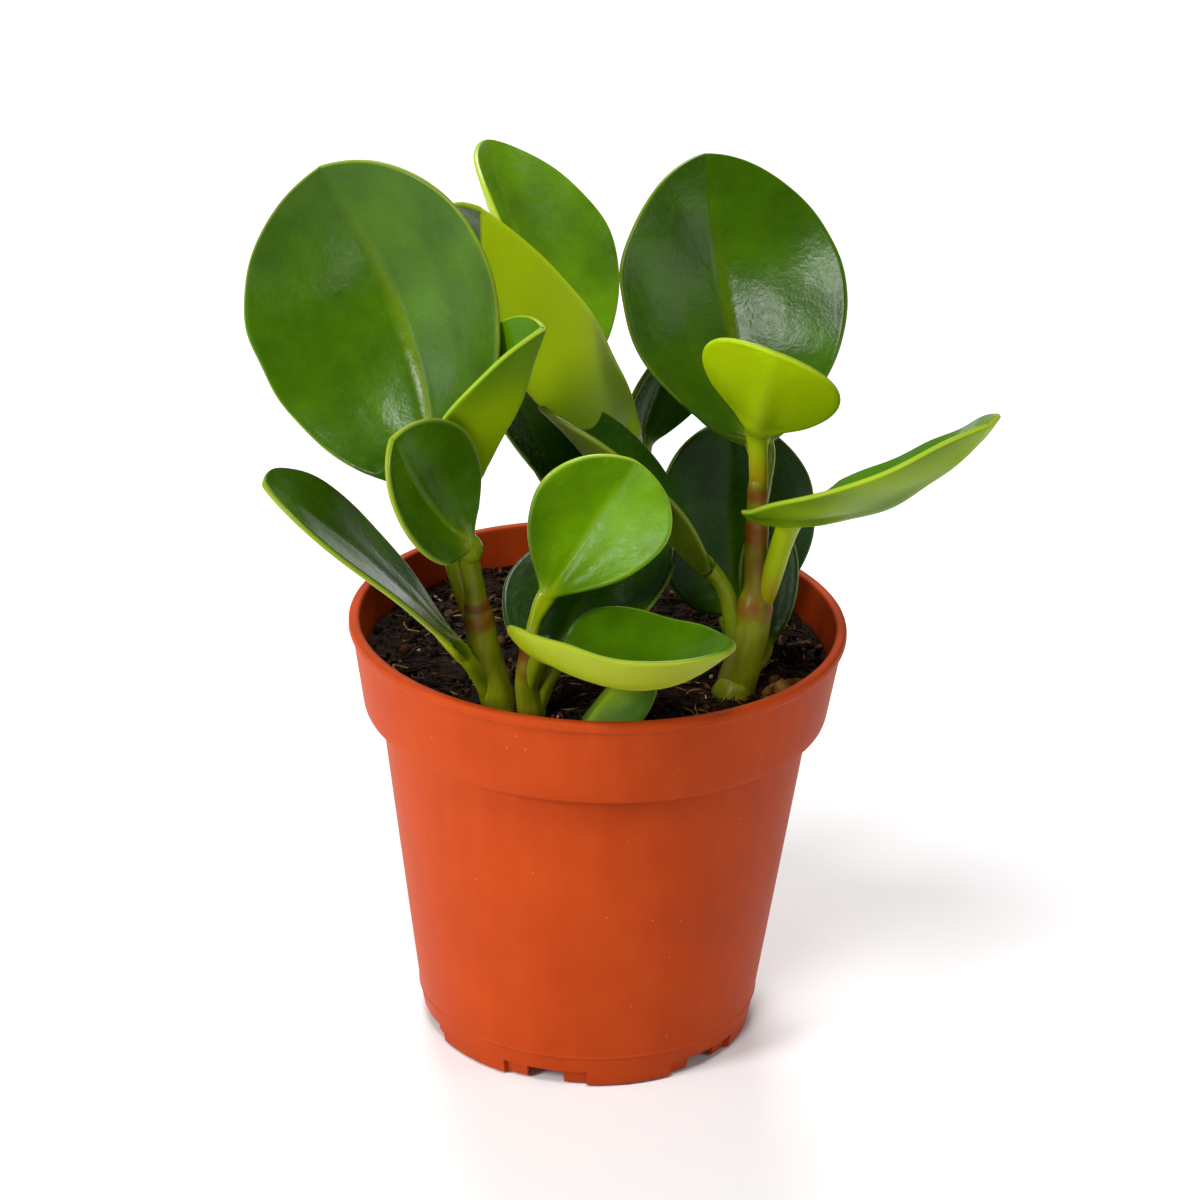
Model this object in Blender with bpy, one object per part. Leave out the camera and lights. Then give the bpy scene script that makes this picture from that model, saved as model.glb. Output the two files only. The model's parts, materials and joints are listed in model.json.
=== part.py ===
"""Potted peperomia: a plastic nursery pot, its soil, four shoots and eighteen leaves.

Lengths are written in millimetres and turned to metres by MM when a mesh is made.
Places are measured from the pot's axis at the height of its foot: +X to the right,
+Y to the back, +Z up. The empty "plant_in_pot" then moves everything so that the
origin lies under the middle of the whole plant, on the surface that it stands on.
"""
import bpy
import bmesh
import numpy as np
from math import cos, pi, radians, sin

MM = 0.001

# Clearance between pieces that touch.
GAP = 0.3

# The pot's axis, measured from the middle of the whole plant's outline.
POT_AXIS_X = -1.69
POT_AXIS_Y = 3.35

# Pot: a four inch round nursery pot, injection moulded.
POT_HEIGHT = 93.0
RIM_RADIUS = 52.5
LIP_INNER_RADIUS = 50.2
LIP_HEIGHT = 2.4
BAND_TOP_RADIUS = 51.7
BAND_BOTTOM_RADIUS = 49.0
BAND_BOTTOM_HEIGHT = 73.5
BODY_TOP_RADIUS = 45.6
FOOT_TOP_RADIUS = 36.5
FOOT_HEIGHT = 7.4
FOOT_RADIUS = 35.2
FOOT_RING_WIDTH = 2.4
POT_WALL = 1.1
FLOOR_BOTTOM = 3.6
FLOOR_TOP = 4.8
POT_SIDES = 48

# Foot notches, through which the pot drains, and the drain holes above them.
NOTCH_COUNT = 6
FIRST_NOTCH = -14.0
NOTCH_HEIGHT = 3.4
NOTCH_RECESS_WIDTH = 18.0
NOTCH_RECESS_DEPTH = 1.1
NOTCH_GAP_WIDTH = 8.2
NOTCH_CORNER = 1.4
DRAIN_RADIUS = 3.5
DRAIN_CIRCLE_RADIUS = 26.0

# Soil.
SOIL_TOP = 84.5
ROOTED_DEPTH = 12.0

# Leaves.
BLADE_THICKNESS = 1.3
RING_POINTS = 12
BLADE_RINGS = 12
STALK_RINGS = 5
END_RINGS = 2

# Every shoot: the points its axis runs through, and its radius at each.
SHOOTS = {
    "stem_left": (
        [(-19.7, -28, SOIL_TOP - ROOTED_DEPTH), (-19.7, -28, 85), (-22.5, -28, 96),
         (-24.5, -29, 107), (-26, -31, 118)],
        [3.1, 3.2, 3.1, 2.9, 2.2]),
    "stem_middle": (
        [(-13, -31, SOIL_TOP - ROOTED_DEPTH), (-13, -31, 85), (-14, -31.5, 92), (-13.5, -32, 100)],
        [2.4, 2.5, 2.3, 2.0]),
    "stem_right": (
        [(29, -16, SOIL_TOP - ROOTED_DEPTH), (29, -16, 85), (31.5, -15, 95), (32.5, -14, 106),
         (32, -12.5, 119), (32, -11.5, 129)],
        [3.4, 3.5, 3.1, 2.7, 2.5, 2.1]),
    "stem_back": (
        [(4, 18, SOIL_TOP - ROOTED_DEPTH), (4, 18, 85), (5, 18, 100), (7, 17.5, 116)],
        [3.0, 3.1, 2.8, 2.3]),
}
STEM_SIDES = 12
STEM_RINGS_PER_STRETCH = 3


def clear_scene():
    """Take every object out of the file before the plant is made."""
    for old in list(bpy.data.objects):
        bpy.data.objects.remove(old, do_unlink=True)


def material(name, colour, roughness):
    """A plain Principled material, in the colour and gloss of the real surface."""
    made = bpy.data.materials.new(name)
    made.use_nodes = True
    shader = made.node_tree.nodes["Principled BSDF"]
    shader.inputs["Base Color"].default_value = (*colour, 1.0)
    shader.inputs["Roughness"].default_value = roughness
    shader.inputs["Metallic"].default_value = 0.0
    return made


def add_piece(name, points, faces, finish, parent):
    """Make one object from points in millimetres, shaded smooth except at hard corners."""
    mesh = bpy.data.meshes.new(name)
    mesh.from_pydata((np.asarray(points) * MM).tolist(), [], faces)
    mesh.validate()
    mesh.shade_smooth()
    mesh.set_sharp_from_angle(angle=radians(40))
    if finish is not None:
        mesh.materials.append(finish)
    piece = bpy.data.objects.new(name, mesh)
    piece.parent = parent
    bpy.context.scene.collection.objects.link(piece)
    return piece


def make_cutter(piece):
    """Keep a tool object out of the finished plant."""
    piece.hide_render = True
    piece.display_type = "WIRE"
    return piece


def cut(piece, cutter):
    """Take the cutter's shape out of a piece."""
    boolean = piece.modifiers.new("cut_" + cutter.name, "BOOLEAN")
    boolean.operation = "DIFFERENCE"
    boolean.solver = "EXACT"
    boolean.object = cutter


def tube_faces(rings, count, closed=True):
    """Faces of a skin over rings of points, with a flat cap on both ends when it is closed."""
    faces = []
    for ring in range(rings - 1):
        for k in range(count):
            after = (k + 1) % count
            low = ring * count
            high = low + count
            faces.append((low + k, low + after, high + after, high + k))
    if closed:
        faces.append(tuple(range(count - 1, -1, -1)))
        last = (rings - 1) * count
        faces.append(tuple(range(last, last + count)))
    return faces


def turned(profile, sides):
    """Points and faces of a closed outline of (radius, height) turned about the Z axis.

    The outline runs up the outside and down the inside, so its faces point out.
    """
    angle = np.linspace(0, 2 * pi, sides, endpoint=False)
    radius, height = np.array(profile, dtype=float).T
    points = np.stack([np.outer(np.cos(angle), radius),
                       np.outer(np.sin(angle), radius),
                       np.outer(np.ones(sides), height)], axis=-1).reshape(-1, 3)
    count = len(profile)
    faces = []
    for side in range(sides):
        this = side * count
        following = ((side + 1) % sides) * count
        for k in range(count):
            after = (k + 1) % count
            faces.append((this + k, following + k, following + after, this + after))
    return points, faces


def turned_solid(profile, sides):
    """Points and faces of an open outline turned about Z, with flat discs closing its ends."""
    angle = np.linspace(0, 2 * pi, sides, endpoint=False)
    radius, height = np.array(profile, dtype=float).T
    points = np.stack([np.outer(radius, np.cos(angle)),
                       np.outer(radius, np.sin(angle)),
                       np.outer(height, np.ones(sides))], axis=-1).reshape(-1, 3)
    return points, tube_faces(len(profile), sides)


def notch_blocks(width, inner, outer, corner):
    """Blocks that cut one notch each, evenly round the foot, with rounded upper corners."""
    half = width / 2
    steps = 4 if corner else 1
    outline = [(-half, -1.0), (half, -1.0)]
    for step in range(steps):
        turn = step / max(steps - 1, 1) * pi / 2
        outline.append((half - corner + corner * cos(turn), NOTCH_HEIGHT - corner + corner * sin(turn)))
    for step in range(steps):
        turn = pi / 2 + step / max(steps - 1, 1) * pi / 2
        outline.append((-half + corner + corner * cos(turn), NOTCH_HEIGHT - corner + corner * sin(turn)))
    count = len(outline)
    points = []
    faces = []
    for notch in range(NOTCH_COUNT):
        angle = radians(FIRST_NOTCH + notch * 360 / NOTCH_COUNT)
        out = np.array([sin(angle), -cos(angle), 0])
        side = np.array([cos(angle), sin(angle), 0])
        start = len(points)
        for reach in (inner, outer):
            for across, height in outline:
                points.append(out * reach + side * across + np.array([0, 0, height]))
        for k in range(count):
            after = (k + 1) % count
            faces.append((start + k, start + after, start + after + count, start + k + count))
        faces.append(tuple(start + k for k in reversed(range(count))))
        faces.append(tuple(start + count + k for k in range(count)))
    return points, faces


def drain_plugs():
    """Upright cylinders through the pot's floor, one beside each notch."""
    points = []
    faces = []
    sides = 16
    turn = np.linspace(0, 2 * pi, sides, endpoint=False)
    for notch in range(NOTCH_COUNT):
        angle = radians(FIRST_NOTCH + notch * 360 / NOTCH_COUNT)
        centre_x = DRAIN_CIRCLE_RADIUS * sin(angle)
        centre_y = -DRAIN_CIRCLE_RADIUS * cos(angle)
        start = len(points)
        for height in (FLOOR_BOTTOM - 1, FLOOR_TOP + 1):
            for t in turn:
                points.append((centre_x + DRAIN_RADIUS * cos(t), centre_y + DRAIN_RADIUS * sin(t), height))
        faces += [tuple(start + k for k in face) for face in tube_faces(2, sides)]
    return points, faces


def wall_radius(height):
    """Outer radius of the pot's band or body at a height."""
    if height >= BAND_BOTTOM_HEIGHT:
        share = (height - BAND_BOTTOM_HEIGHT) / (POT_HEIGHT - LIP_HEIGHT - BAND_BOTTOM_HEIGHT)
        return BAND_BOTTOM_RADIUS + share * (BAND_TOP_RADIUS - BAND_BOTTOM_RADIUS)
    share = (height - FOOT_HEIGHT) / (BAND_BOTTOM_HEIGHT - FOOT_HEIGHT)
    return FOOT_TOP_RADIUS + share * (BODY_TOP_RADIUS - FOOT_TOP_RADIUS)


def build_pot(parent):
    """The moulded pot: foot ring with drain notches, tapered body, wider band and rounded lip."""
    finish = material("terracotta_plastic", (0.60, 0.13, 0.035), 0.5)
    lip_base = POT_HEIGHT - LIP_HEIGHT
    ledge = BAND_BOTTOM_HEIGHT + POT_WALL
    outside = [
        (FOOT_RADIUS, 0.0),
        (FOOT_TOP_RADIUS, FOOT_HEIGHT),
        (BODY_TOP_RADIUS, BAND_BOTTOM_HEIGHT),
        (BAND_BOTTOM_RADIUS - 0.6, BAND_BOTTOM_HEIGHT),
        (BAND_BOTTOM_RADIUS, BAND_BOTTOM_HEIGHT + 0.6),
        (BAND_TOP_RADIUS, lip_base),
        (RIM_RADIUS, lip_base + 0.5),
        (RIM_RADIUS, POT_HEIGHT - 0.7),
        (RIM_RADIUS - 0.7, POT_HEIGHT),
        (LIP_INNER_RADIUS + 0.5, POT_HEIGHT),
        (LIP_INNER_RADIUS, POT_HEIGHT - 0.5),
    ]
    inside = [
        (BAND_BOTTOM_RADIUS - POT_WALL, ledge + 0.4),
        (BODY_TOP_RADIUS - POT_WALL, ledge),
        (wall_radius(FLOOR_TOP) - POT_WALL, FLOOR_TOP),
        (0.0, FLOOR_TOP),
    ]
    underside = [
        (0.0, FLOOR_BOTTOM),
        (FOOT_RADIUS - FOOT_RING_WIDTH, FLOOR_BOTTOM),
        (FOOT_RADIUS - FOOT_RING_WIDTH, 0.0),
    ]
    shell = bmesh.new()
    edge_loop = [shell.verts.new((r * MM, 0.0, z * MM)) for r, z in outside + inside + underside]
    edges = [shell.edges.new((edge_loop[k], edge_loop[k + 1])) for k in range(len(edge_loop) - 1)
             if edge_loop[k].co.x + edge_loop[k + 1].co.x > 0]
    edges.append(shell.edges.new((edge_loop[-1], edge_loop[0])))
    bmesh.ops.spin(shell, geom=edge_loop + edges, cent=(0, 0, 0), axis=(0, 0, 1),
                   angle=2 * pi, steps=POT_SIDES, use_merge=True, use_duplicate=False)
    bmesh.ops.remove_doubles(shell, verts=shell.verts, dist=0.00001)
    bmesh.ops.recalc_face_normals(shell, faces=shell.faces)
    mesh = bpy.data.meshes.new("pot")
    shell.to_mesh(mesh)
    shell.free()
    mesh.shade_smooth()
    mesh.set_sharp_from_angle(angle=radians(35))
    mesh.materials.append(finish)
    pot = bpy.data.objects.new("pot", mesh)
    pot.parent = parent
    bpy.context.scene.collection.objects.link(pot)

    recess_inner = FOOT_RADIUS - NOTCH_RECESS_DEPTH
    recess = add_piece("cutter_recess", *notch_blocks(NOTCH_RECESS_WIDTH, recess_inner, FOOT_RADIUS + 4, 0),
                       None, parent)
    gap_inner = FOOT_RADIUS - FOOT_RING_WIDTH - 2
    through = add_piece("cutter_gap", *notch_blocks(NOTCH_GAP_WIDTH, gap_inner, FOOT_RADIUS + 4, NOTCH_CORNER),
                        None, parent)
    drains = add_piece("cutter_drain", *drain_plugs(), None, parent)
    for cutter in (recess, through, drains):
        cut(pot, make_cutter(cutter))
    return pot


def build_soil(parent):
    """The root ball: potting mix filling the pot to its level, bored where the shoots go in."""
    finish = material("potting_soil", (0.03, 0.02, 0.012), 0.95)
    ledge_height = BAND_BOTTOM_HEIGHT + POT_WALL + 0.4
    body_inner = BODY_TOP_RADIUS - POT_WALL - GAP
    # The inner wall slopes straight from the lip to the band's foot.
    rise = (POT_HEIGHT - 0.5) - ledge_height
    slope = (LIP_INNER_RADIUS - (BAND_BOTTOM_RADIUS - POT_WALL)) / rise
    top_radius = BAND_BOTTOM_RADIUS - POT_WALL + slope * (SOIL_TOP - ledge_height) - GAP
    profile = [
        (wall_radius(FLOOR_TOP) - POT_WALL - GAP - 0.1, FLOOR_TOP + GAP),
        (body_inner - 0.1, ledge_height - 0.4 + GAP),
        (BAND_BOTTOM_RADIUS - POT_WALL - GAP - 0.1, ledge_height + GAP),
        (top_radius - 0.1, SOIL_TOP),
    ]
    soil = add_piece("soil", *turned_solid(profile, POT_SIDES), finish, parent)
    for name, (axis, radii) in SHOOTS.items():
        width = max(radii[0], radii[1]) / cos(pi / STEM_SIDES) + 2 * GAP
        bore = [(width, SOIL_TOP - ROOTED_DEPTH - GAP), (width, SOIL_TOP + 3)]
        points, faces = turned_solid(bore, 2 * STEM_SIDES)
        points = points + np.array([axis[0][0], axis[0][1], 0.0])
        cut(soil, make_cutter(add_piece("cutter_bore_" + name, points, faces, None, parent)))
    return soil


def smooth_path(points, count):
    """A smooth curve through points: each stretch is a Hermite cubic whose slopes are the chords."""
    points = np.array(points, dtype=float)
    slope = np.gradient(points, axis=0)
    t = np.linspace(0, len(points) - 1, count)
    k = np.minimum(t.astype(int), len(points) - 2)
    s = (t - k)[:, None]
    start, end = points[k], points[k + 1]
    return ((2 * s**3 - 3 * s**2 + 1) * start + (s**3 - 2 * s**2 + s) * slope[k]
            + (-2 * s**3 + 3 * s**2) * end + (s**3 - s**2) * slope[k + 1])


def build_shoot(name, axis, radii, finish, parent):
    """A round succulent stem, rooted upright in the soil and tapering to a rounded top."""
    rings = STEM_RINGS_PER_STRETCH * (len(axis) - 1) + 1
    path = smooth_path(axis, rings)
    radius = np.interp(np.linspace(0, len(radii) - 1, rings), np.arange(len(radii)), radii)
    up = np.gradient(path, axis=0)
    up /= np.linalg.norm(up, axis=1)[:, None]
    up[0] = (0, 0, 1)
    dome_turn = np.radians([30, 60])
    path = np.concatenate([path, path[-1] + np.outer(np.sin(dome_turn) * radius[-1], up[-1])])
    radius = np.concatenate([radius, np.cos(dome_turn) * radius[-1]])
    up = np.concatenate([up, up[-1:], up[-1:]])
    side = np.cross(up, (0.0, 1.0, 0.0))
    side /= np.linalg.norm(side, axis=1)[:, None]
    back = np.cross(up, side)
    turn = np.linspace(0, 2 * pi, STEM_SIDES, endpoint=False)
    points = (path[:, None] + radius[:, None, None] * (np.cos(turn)[None, :, None] * side[:, None]
                                                       + np.sin(turn)[None, :, None] * back[:, None]))
    return add_piece(name, points.reshape(-1, 3), tube_faces(len(path), STEM_SIDES), finish, parent)


def shoot_at(shoot, height):
    """A shoot's axis point and radius at a height."""
    axis, radii = SHOOTS[shoot]
    axis = np.array(axis, dtype=float)
    point = np.array([np.interp(height, axis[:, 2], axis[:, 0]), np.interp(height, axis[:, 2], axis[:, 1]), height])
    return point, np.interp(height, axis[:, 2], radii)


def leaf_directions(heading, rise, roll):
    """The blade's direction, its upper side's normal and its right hand side at the base.

    heading turns from +Y towards +X, rise lifts the tip, roll turns the upper side to the right.
    """
    a, e, r = radians(heading), radians(rise), radians(roll)
    along = np.array([cos(e) * sin(a), cos(e) * cos(a), sin(e)])
    level = np.array([-sin(e) * sin(a), -sin(e) * cos(a), cos(e)])
    normal = cos(r) * level + sin(r) * np.cross(along, level)
    return along, normal, np.cross(along, normal)


def build_leaf(name, shoot, joins_at, base, heading, rise, roll, length, width, bend, cup, fold,
               twist, wedge, tip, lobe, finish, parent, stalk=2.0, ease=0.4):
    """One leaf: a round stalk that widens into a thick oval blade, as a single closed skin.

    The blade's half width follows u^wedge * (1-u)^tip along its length. Across, it starts at the
    fold angle beside the midrib and turns by the cup angle up to the widest margin. Along, it
    bends by the bend angle and twists by the twist angle. lobe sweeps the base margins back.
    stalk is the stalk's radius, and ease is the share of it that runs straight into the blade.
    """
    along, normal, side = leaf_directions(heading, rise, roll)
    base = np.array(base, dtype=float)

    # Stations: the stalk's rounded end, the stalk, and the blade, where u runs from 0 to 1.
    axis_point, stem_radius = shoot_at(shoot, joins_at)
    reach = base - axis_point
    terminal = joins_at >= SHOOTS[shoot][0][-1][2]
    if terminal:
        outward = np.array([0.0, 0.0, 1.0])
    else:
        outward = np.array([reach[0], reach[1], 0.0])
        outward /= np.linalg.norm(outward)
    foot = axis_point + outward * (stem_radius / cos(pi / STEM_SIDES) + GAP + stalk)
    span = np.linalg.norm(base - foot)
    first = outward + np.array([0.0, 0.0, 1.0])
    first /= np.linalg.norm(first)
    bend_points = [foot, foot + first * span * 0.35, base - along * span * ease, base]
    s = np.linspace(0, 1, STALK_RINGS + 1)[:-1, None]
    way = ((1 - s)**3 * bend_points[0] + 3 * s * (1 - s)**2 * bend_points[1]
           + 3 * s**2 * (1 - s) * bend_points[2] + s**3 * bend_points[3])
    stalk_way = (3 * (1 - s)**2 * (bend_points[1] - bend_points[0])
                 + 6 * s * (1 - s) * (bend_points[2] - bend_points[1])
                 + 3 * s**2 * (bend_points[3] - bend_points[2]))
    stalk_way /= np.linalg.norm(stalk_way, axis=1)[:, None]
    end_turn = np.radians(np.linspace(75, 25, END_RINGS))
    end = way[0] - np.outer(np.sin(end_turn) * stalk, stalk_way[0])
    way = np.concatenate([end, way])
    stalk_way = np.concatenate([np.repeat(stalk_way[:1], END_RINGS, axis=0), stalk_way])
    stalk_radius = np.full(len(way), stalk)
    stalk_radius[:END_RINGS] *= np.cos(end_turn)
    stalk_normal = np.cross(side, stalk_way)
    stalk_normal /= np.linalg.norm(stalk_normal, axis=1)[:, None]
    stalk_side = np.cross(stalk_way, stalk_normal)

    turn = -2 * pi * np.arange(RING_POINTS) / RING_POINTS
    across = np.cos(turn)
    above = np.sin(turn)
    stalk_points = (way[:, None]
                    + stalk_radius[:, None, None] * (across[None, :, None] * stalk_side[:, None]
                                                     + above[None, :, None] * stalk_normal[:, None]))

    # Blade: stations crowd towards the base and the tip, where the outline turns fastest.
    u = (1 - np.cos(np.linspace(0, 0.965 * pi, BLADE_RINGS)))[:, None] / 2
    widest = wedge / (wedge + tip)
    half = width / 2 * (u / widest)**wedge * ((1 - u) / (1 - widest))**tip
    fade = np.clip(1 - u / 0.35, 0, 1)**2
    half_width = np.sqrt(half**2 + (stalk * fade)**2)
    v = across[None, :]
    place = length * u - lobe * np.abs(v)**1.5 * half * (1 - u)**1.5
    turned_by = radians(bend) * place / length
    curl = length / radians(bend)
    middle = base + (curl * np.sin(turned_by))[..., None] * along - (curl * (1 - np.cos(turned_by)))[..., None] * normal
    up = np.sin(turned_by)[..., None] * along + np.cos(turned_by)[..., None] * normal
    wind = (radians(twist) * place / length)[..., None]
    blade_normal = np.cos(wind) * up + np.sin(wind) * side
    blade_side = np.cos(wind) * side - np.sin(wind) * up
    rate = radians(cup) / (width / 2)
    slope = radians(fold) * np.clip(u / 0.1, 0, 1)
    t = np.abs(v) * half_width
    out = np.sign(v) * (np.sin(slope + rate * t) - np.sin(slope)) / rate
    lift = (np.cos(slope) - np.cos(slope + rate * t)) / rate
    lean = slope + rate * t
    # Thickness: a thin plate with rounded margins, and a midrib that stands out underneath.
    roundness = 1 - 0.75 * np.clip(u / 0.15, 0, 1)
    plate = BLADE_THICKNESS / 2 + (stalk - BLADE_THICKNESS / 2) * np.clip(1 - u / 0.2, 0, 1)**2
    midrib = np.exp(-(t / (1.3 * stalk))**2) * (1 - u) * (stalk - BLADE_THICKNESS / 2)
    depth = np.where(above[None, :] > 0, plate, np.maximum(plate, BLADE_THICKNESS / 2 + midrib))
    depth = depth * np.sign(above)[None, :] * np.abs(above[None, :])**roundness
    depth[:, np.abs(above) < 1e-9] = 0.0
    out = out - depth * np.sin(lean) * np.sign(v)
    lift = lift + depth * np.cos(lean)
    blade_points = middle + out[..., None] * blade_side + lift[..., None] * blade_normal

    points = np.concatenate([stalk_points, blade_points])
    return add_piece(name, points.reshape(-1, 3), tube_faces(len(points), RING_POINTS), finish, parent)


def build_leaves(parent):
    """Every leaf, named by where it grows; directions in degrees, sizes in millimetres."""
    dark = material("leaf_dark_green", (0.035, 0.13, 0.012), 0.32)
    green = material("leaf_green", (0.06, 0.22, 0.01), 0.32)
    bright = material("leaf_bright_green", (0.19, 0.42, 0.015), 0.32)

    # Shoot on the left: two big leaves behind, one small one in front, one low at the side.
    build_leaf("leaf_left_large", "stem_left", 107, (-33, -24.7, 134.2), -8, 43, -42, 69, 62,
               bend=-60, cup=18, fold=14, twist=8, wedge=0.70, tip=0.50, lobe=0.40, finish=green, parent=parent)
    build_leaf("leaf_left_folded", "stem_left", 114, (-26, -25.2, 134.7), 126, 56, 21, 41, 32,
               bend=-15, cup=33, fold=30, twist=12, wedge=0.50, tip=0.54, lobe=0.35, finish=bright, parent=parent)
    build_leaf("leaf_left_front", "stem_left", 118, (-26.5, -39.5, 125.6), -110, 46, -52, 34, 30,
               bend=-34, cup=34, fold=10, twist=-6, wedge=0.63, tip=0.50, lobe=0.12, finish=dark, parent=parent)
    build_leaf("leaf_left_low", "stem_left", 89, (-27, -32, 98), -116, 52, -10, 61, 33,
               bend=13, cup=8, fold=4, twist=-7, wedge=0.97, tip=0.59, lobe=0.0, finish=green, parent=parent,
               stalk=1.8)

    # Short shoot in the middle front.
    build_leaf("leaf_middle_round", "stem_middle", 100, (-10.5, -32, 111.5), 65, 58, 71, 34, 30,
               bend=-20, cup=12, fold=6, twist=7, wedge=0.89, tip=0.54, lobe=0.0, finish=bright, parent=parent,
               stalk=1.3)
    build_leaf("leaf_middle_low", "stem_middle", 87, (-9, -30, 96.5), 21, 24, -2, 42, 36,
               bend=10, cup=11, fold=3, twist=-12, wedge=0.68, tip=0.44, lobe=0.47, finish=dark, parent=parent,
               ease=0.15)
    build_leaf("leaf_front", "stem_middle", 94, (-8, -38, 101.5), 136, -11, -17, 49, 39,
               bend=-60, cup=68, fold=2, twist=7, wedge=0.45, tip=0.60, lobe=0.90, finish=green, parent=parent)
    build_leaf("leaf_front_small", "stem_middle", 88, (-1, -38.5, 87.5), 24, 23, 180, 18, 14,
               bend=-13, cup=29, fold=16, twist=-3, wedge=0.58, tip=0.51, lobe=0.20, finish=green, parent=parent, stalk=1.2)

    # Shoot on the right: a big leaf and a young one at its top, one reaching out, two behind.
    build_leaf("leaf_right_large", "stem_right", 124, (32, -5.5, 135.5), -17, 31, -5, 64, 51,
               bend=-47, cup=4, fold=13, twist=8, wedge=0.65, tip=0.59, lobe=0.0, finish=green, parent=parent)
    build_leaf("leaf_right_young", "stem_right", 129, (31.5, -10.5, 140.5), 178, 43, -23, 34, 30,
               bend=-10, cup=10, fold=6, twist=2, wedge=0.77, tip=0.56, lobe=0.0, finish=bright, parent=parent)
    build_leaf("leaf_right_outer", "stem_right", 104, (40, -17, 124.5), 135, 15, -2, 60, 46,
               bend=-41, cup=28, fold=8, twist=10, wedge=0.47, tip=0.57, lobe=0.55, finish=green, parent=parent)
    build_leaf("leaf_right_back", "stem_right", 88.7, (28.3, 10, 90.5), -25, 81, -3, 42, 37,
               bend=-3, cup=13, fold=7, twist=-6, wedge=0.52, tip=0.51, lobe=0.10, finish=dark, parent=parent, ease=0.22)
    build_leaf("leaf_right_narrow", "stem_right", 88, (35, -8, 91.3), 0, 82, 10, 27, 13,
               bend=5, cup=12, fold=6, twist=0, wedge=0.65, tip=0.50, lobe=0.20, finish=dark, parent=parent, stalk=1.2)
    build_leaf("leaf_centre_arching", "stem_right", 90, (22, -13.5, 111), -96, 43, 4, 50, 33,
               bend=-5, cup=42, fold=7, twist=-1, wedge=0.54, tip=0.56, lobe=0.70, finish=dark, parent=parent,
               stalk=1.7)

    # Shoot at the back, behind the middle leaves.
    build_leaf("leaf_centre_folded", "stem_back", 116, (8.5, 17.1, 127.7), -147, 70, 148, 72, 56,
               bend=-36, cup=38, fold=22, twist=-9, wedge=0.94, tip=0.42, lobe=0.0, finish=bright, parent=parent)
    build_leaf("leaf_top_back", "stem_back", 114, (-4.5, 28.7, 137.1), -46, 37, 16, 55, 47,
               bend=-28, cup=35, fold=10, twist=3, wedge=0.66, tip=0.60, lobe=0.0, finish=green, parent=parent)
    build_leaf("leaf_back_left", "stem_back", 112, (-9, 0.5, 121.5), -23, 19, 20, 34, 26,
               bend=-7, cup=18, fold=14, twist=-2, wedge=0.67, tip=0.50, lobe=0.15, finish=dark, parent=parent,
               stalk=1.6, ease=0.1)
    build_leaf("leaf_back_right", "stem_back", 108, (8, 29.1, 120.2), 42, 79, 80, 30, 24,
               bend=-40, cup=24, fold=13, twist=3, wedge=0.70, tip=0.50, lobe=0.0, finish=dark, parent=parent)


def build_plant():
    """Assemble the potted plant under one empty."""
    clear_scene()
    root = bpy.data.objects.new("plant_in_pot", None)
    root.location = (POT_AXIS_X * MM, POT_AXIS_Y * MM, 0.0)
    bpy.context.scene.collection.objects.link(root)
    build_pot(root)
    build_soil(root)
    stem = material("stem_green_brown", (0.20, 0.22, 0.03), 0.4)
    for name, (axis, radii) in SHOOTS.items():
        build_shoot(name, axis, radii, stem, root)
    build_leaves(root)
    bpy.context.view_layer.update()


build_plant()
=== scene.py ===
import json
import bpy
import numpy as np
from mathutils import Matrix, Vector

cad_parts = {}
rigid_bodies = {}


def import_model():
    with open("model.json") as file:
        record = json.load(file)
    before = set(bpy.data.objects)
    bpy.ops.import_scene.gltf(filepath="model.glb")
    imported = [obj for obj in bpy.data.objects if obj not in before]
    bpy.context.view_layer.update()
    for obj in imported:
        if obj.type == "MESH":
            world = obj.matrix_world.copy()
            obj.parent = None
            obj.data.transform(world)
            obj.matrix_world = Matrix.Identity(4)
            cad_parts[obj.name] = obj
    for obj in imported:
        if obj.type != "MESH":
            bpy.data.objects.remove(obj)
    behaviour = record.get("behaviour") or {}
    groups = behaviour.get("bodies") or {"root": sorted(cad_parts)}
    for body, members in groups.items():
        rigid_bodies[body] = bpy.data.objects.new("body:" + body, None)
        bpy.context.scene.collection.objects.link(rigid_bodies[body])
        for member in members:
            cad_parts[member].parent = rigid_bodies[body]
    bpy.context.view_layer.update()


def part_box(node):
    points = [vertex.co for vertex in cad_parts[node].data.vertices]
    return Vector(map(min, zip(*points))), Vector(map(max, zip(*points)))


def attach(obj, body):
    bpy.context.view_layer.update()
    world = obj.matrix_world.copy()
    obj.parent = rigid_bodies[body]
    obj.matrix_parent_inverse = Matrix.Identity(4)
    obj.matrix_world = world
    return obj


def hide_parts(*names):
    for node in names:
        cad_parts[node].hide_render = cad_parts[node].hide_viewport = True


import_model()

# ---------------------------------------------------------------------------
# Pot. A round nursery pot, injection moulded in terracotta-coloured
# polypropylene 1.3 to 1.7 mm thick: a tapered body, a wider band, a rounded
# lip, and a foot ring with six notches. Six drain holes go through its floor.
# ---------------------------------------------------------------------------
pot_low, pot_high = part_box("pot")
axis_x = (pot_low.x + pot_high.x) / 2 * 1000
axis_y = (pot_low.y + pot_high.y) / 2 * 1000


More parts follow.
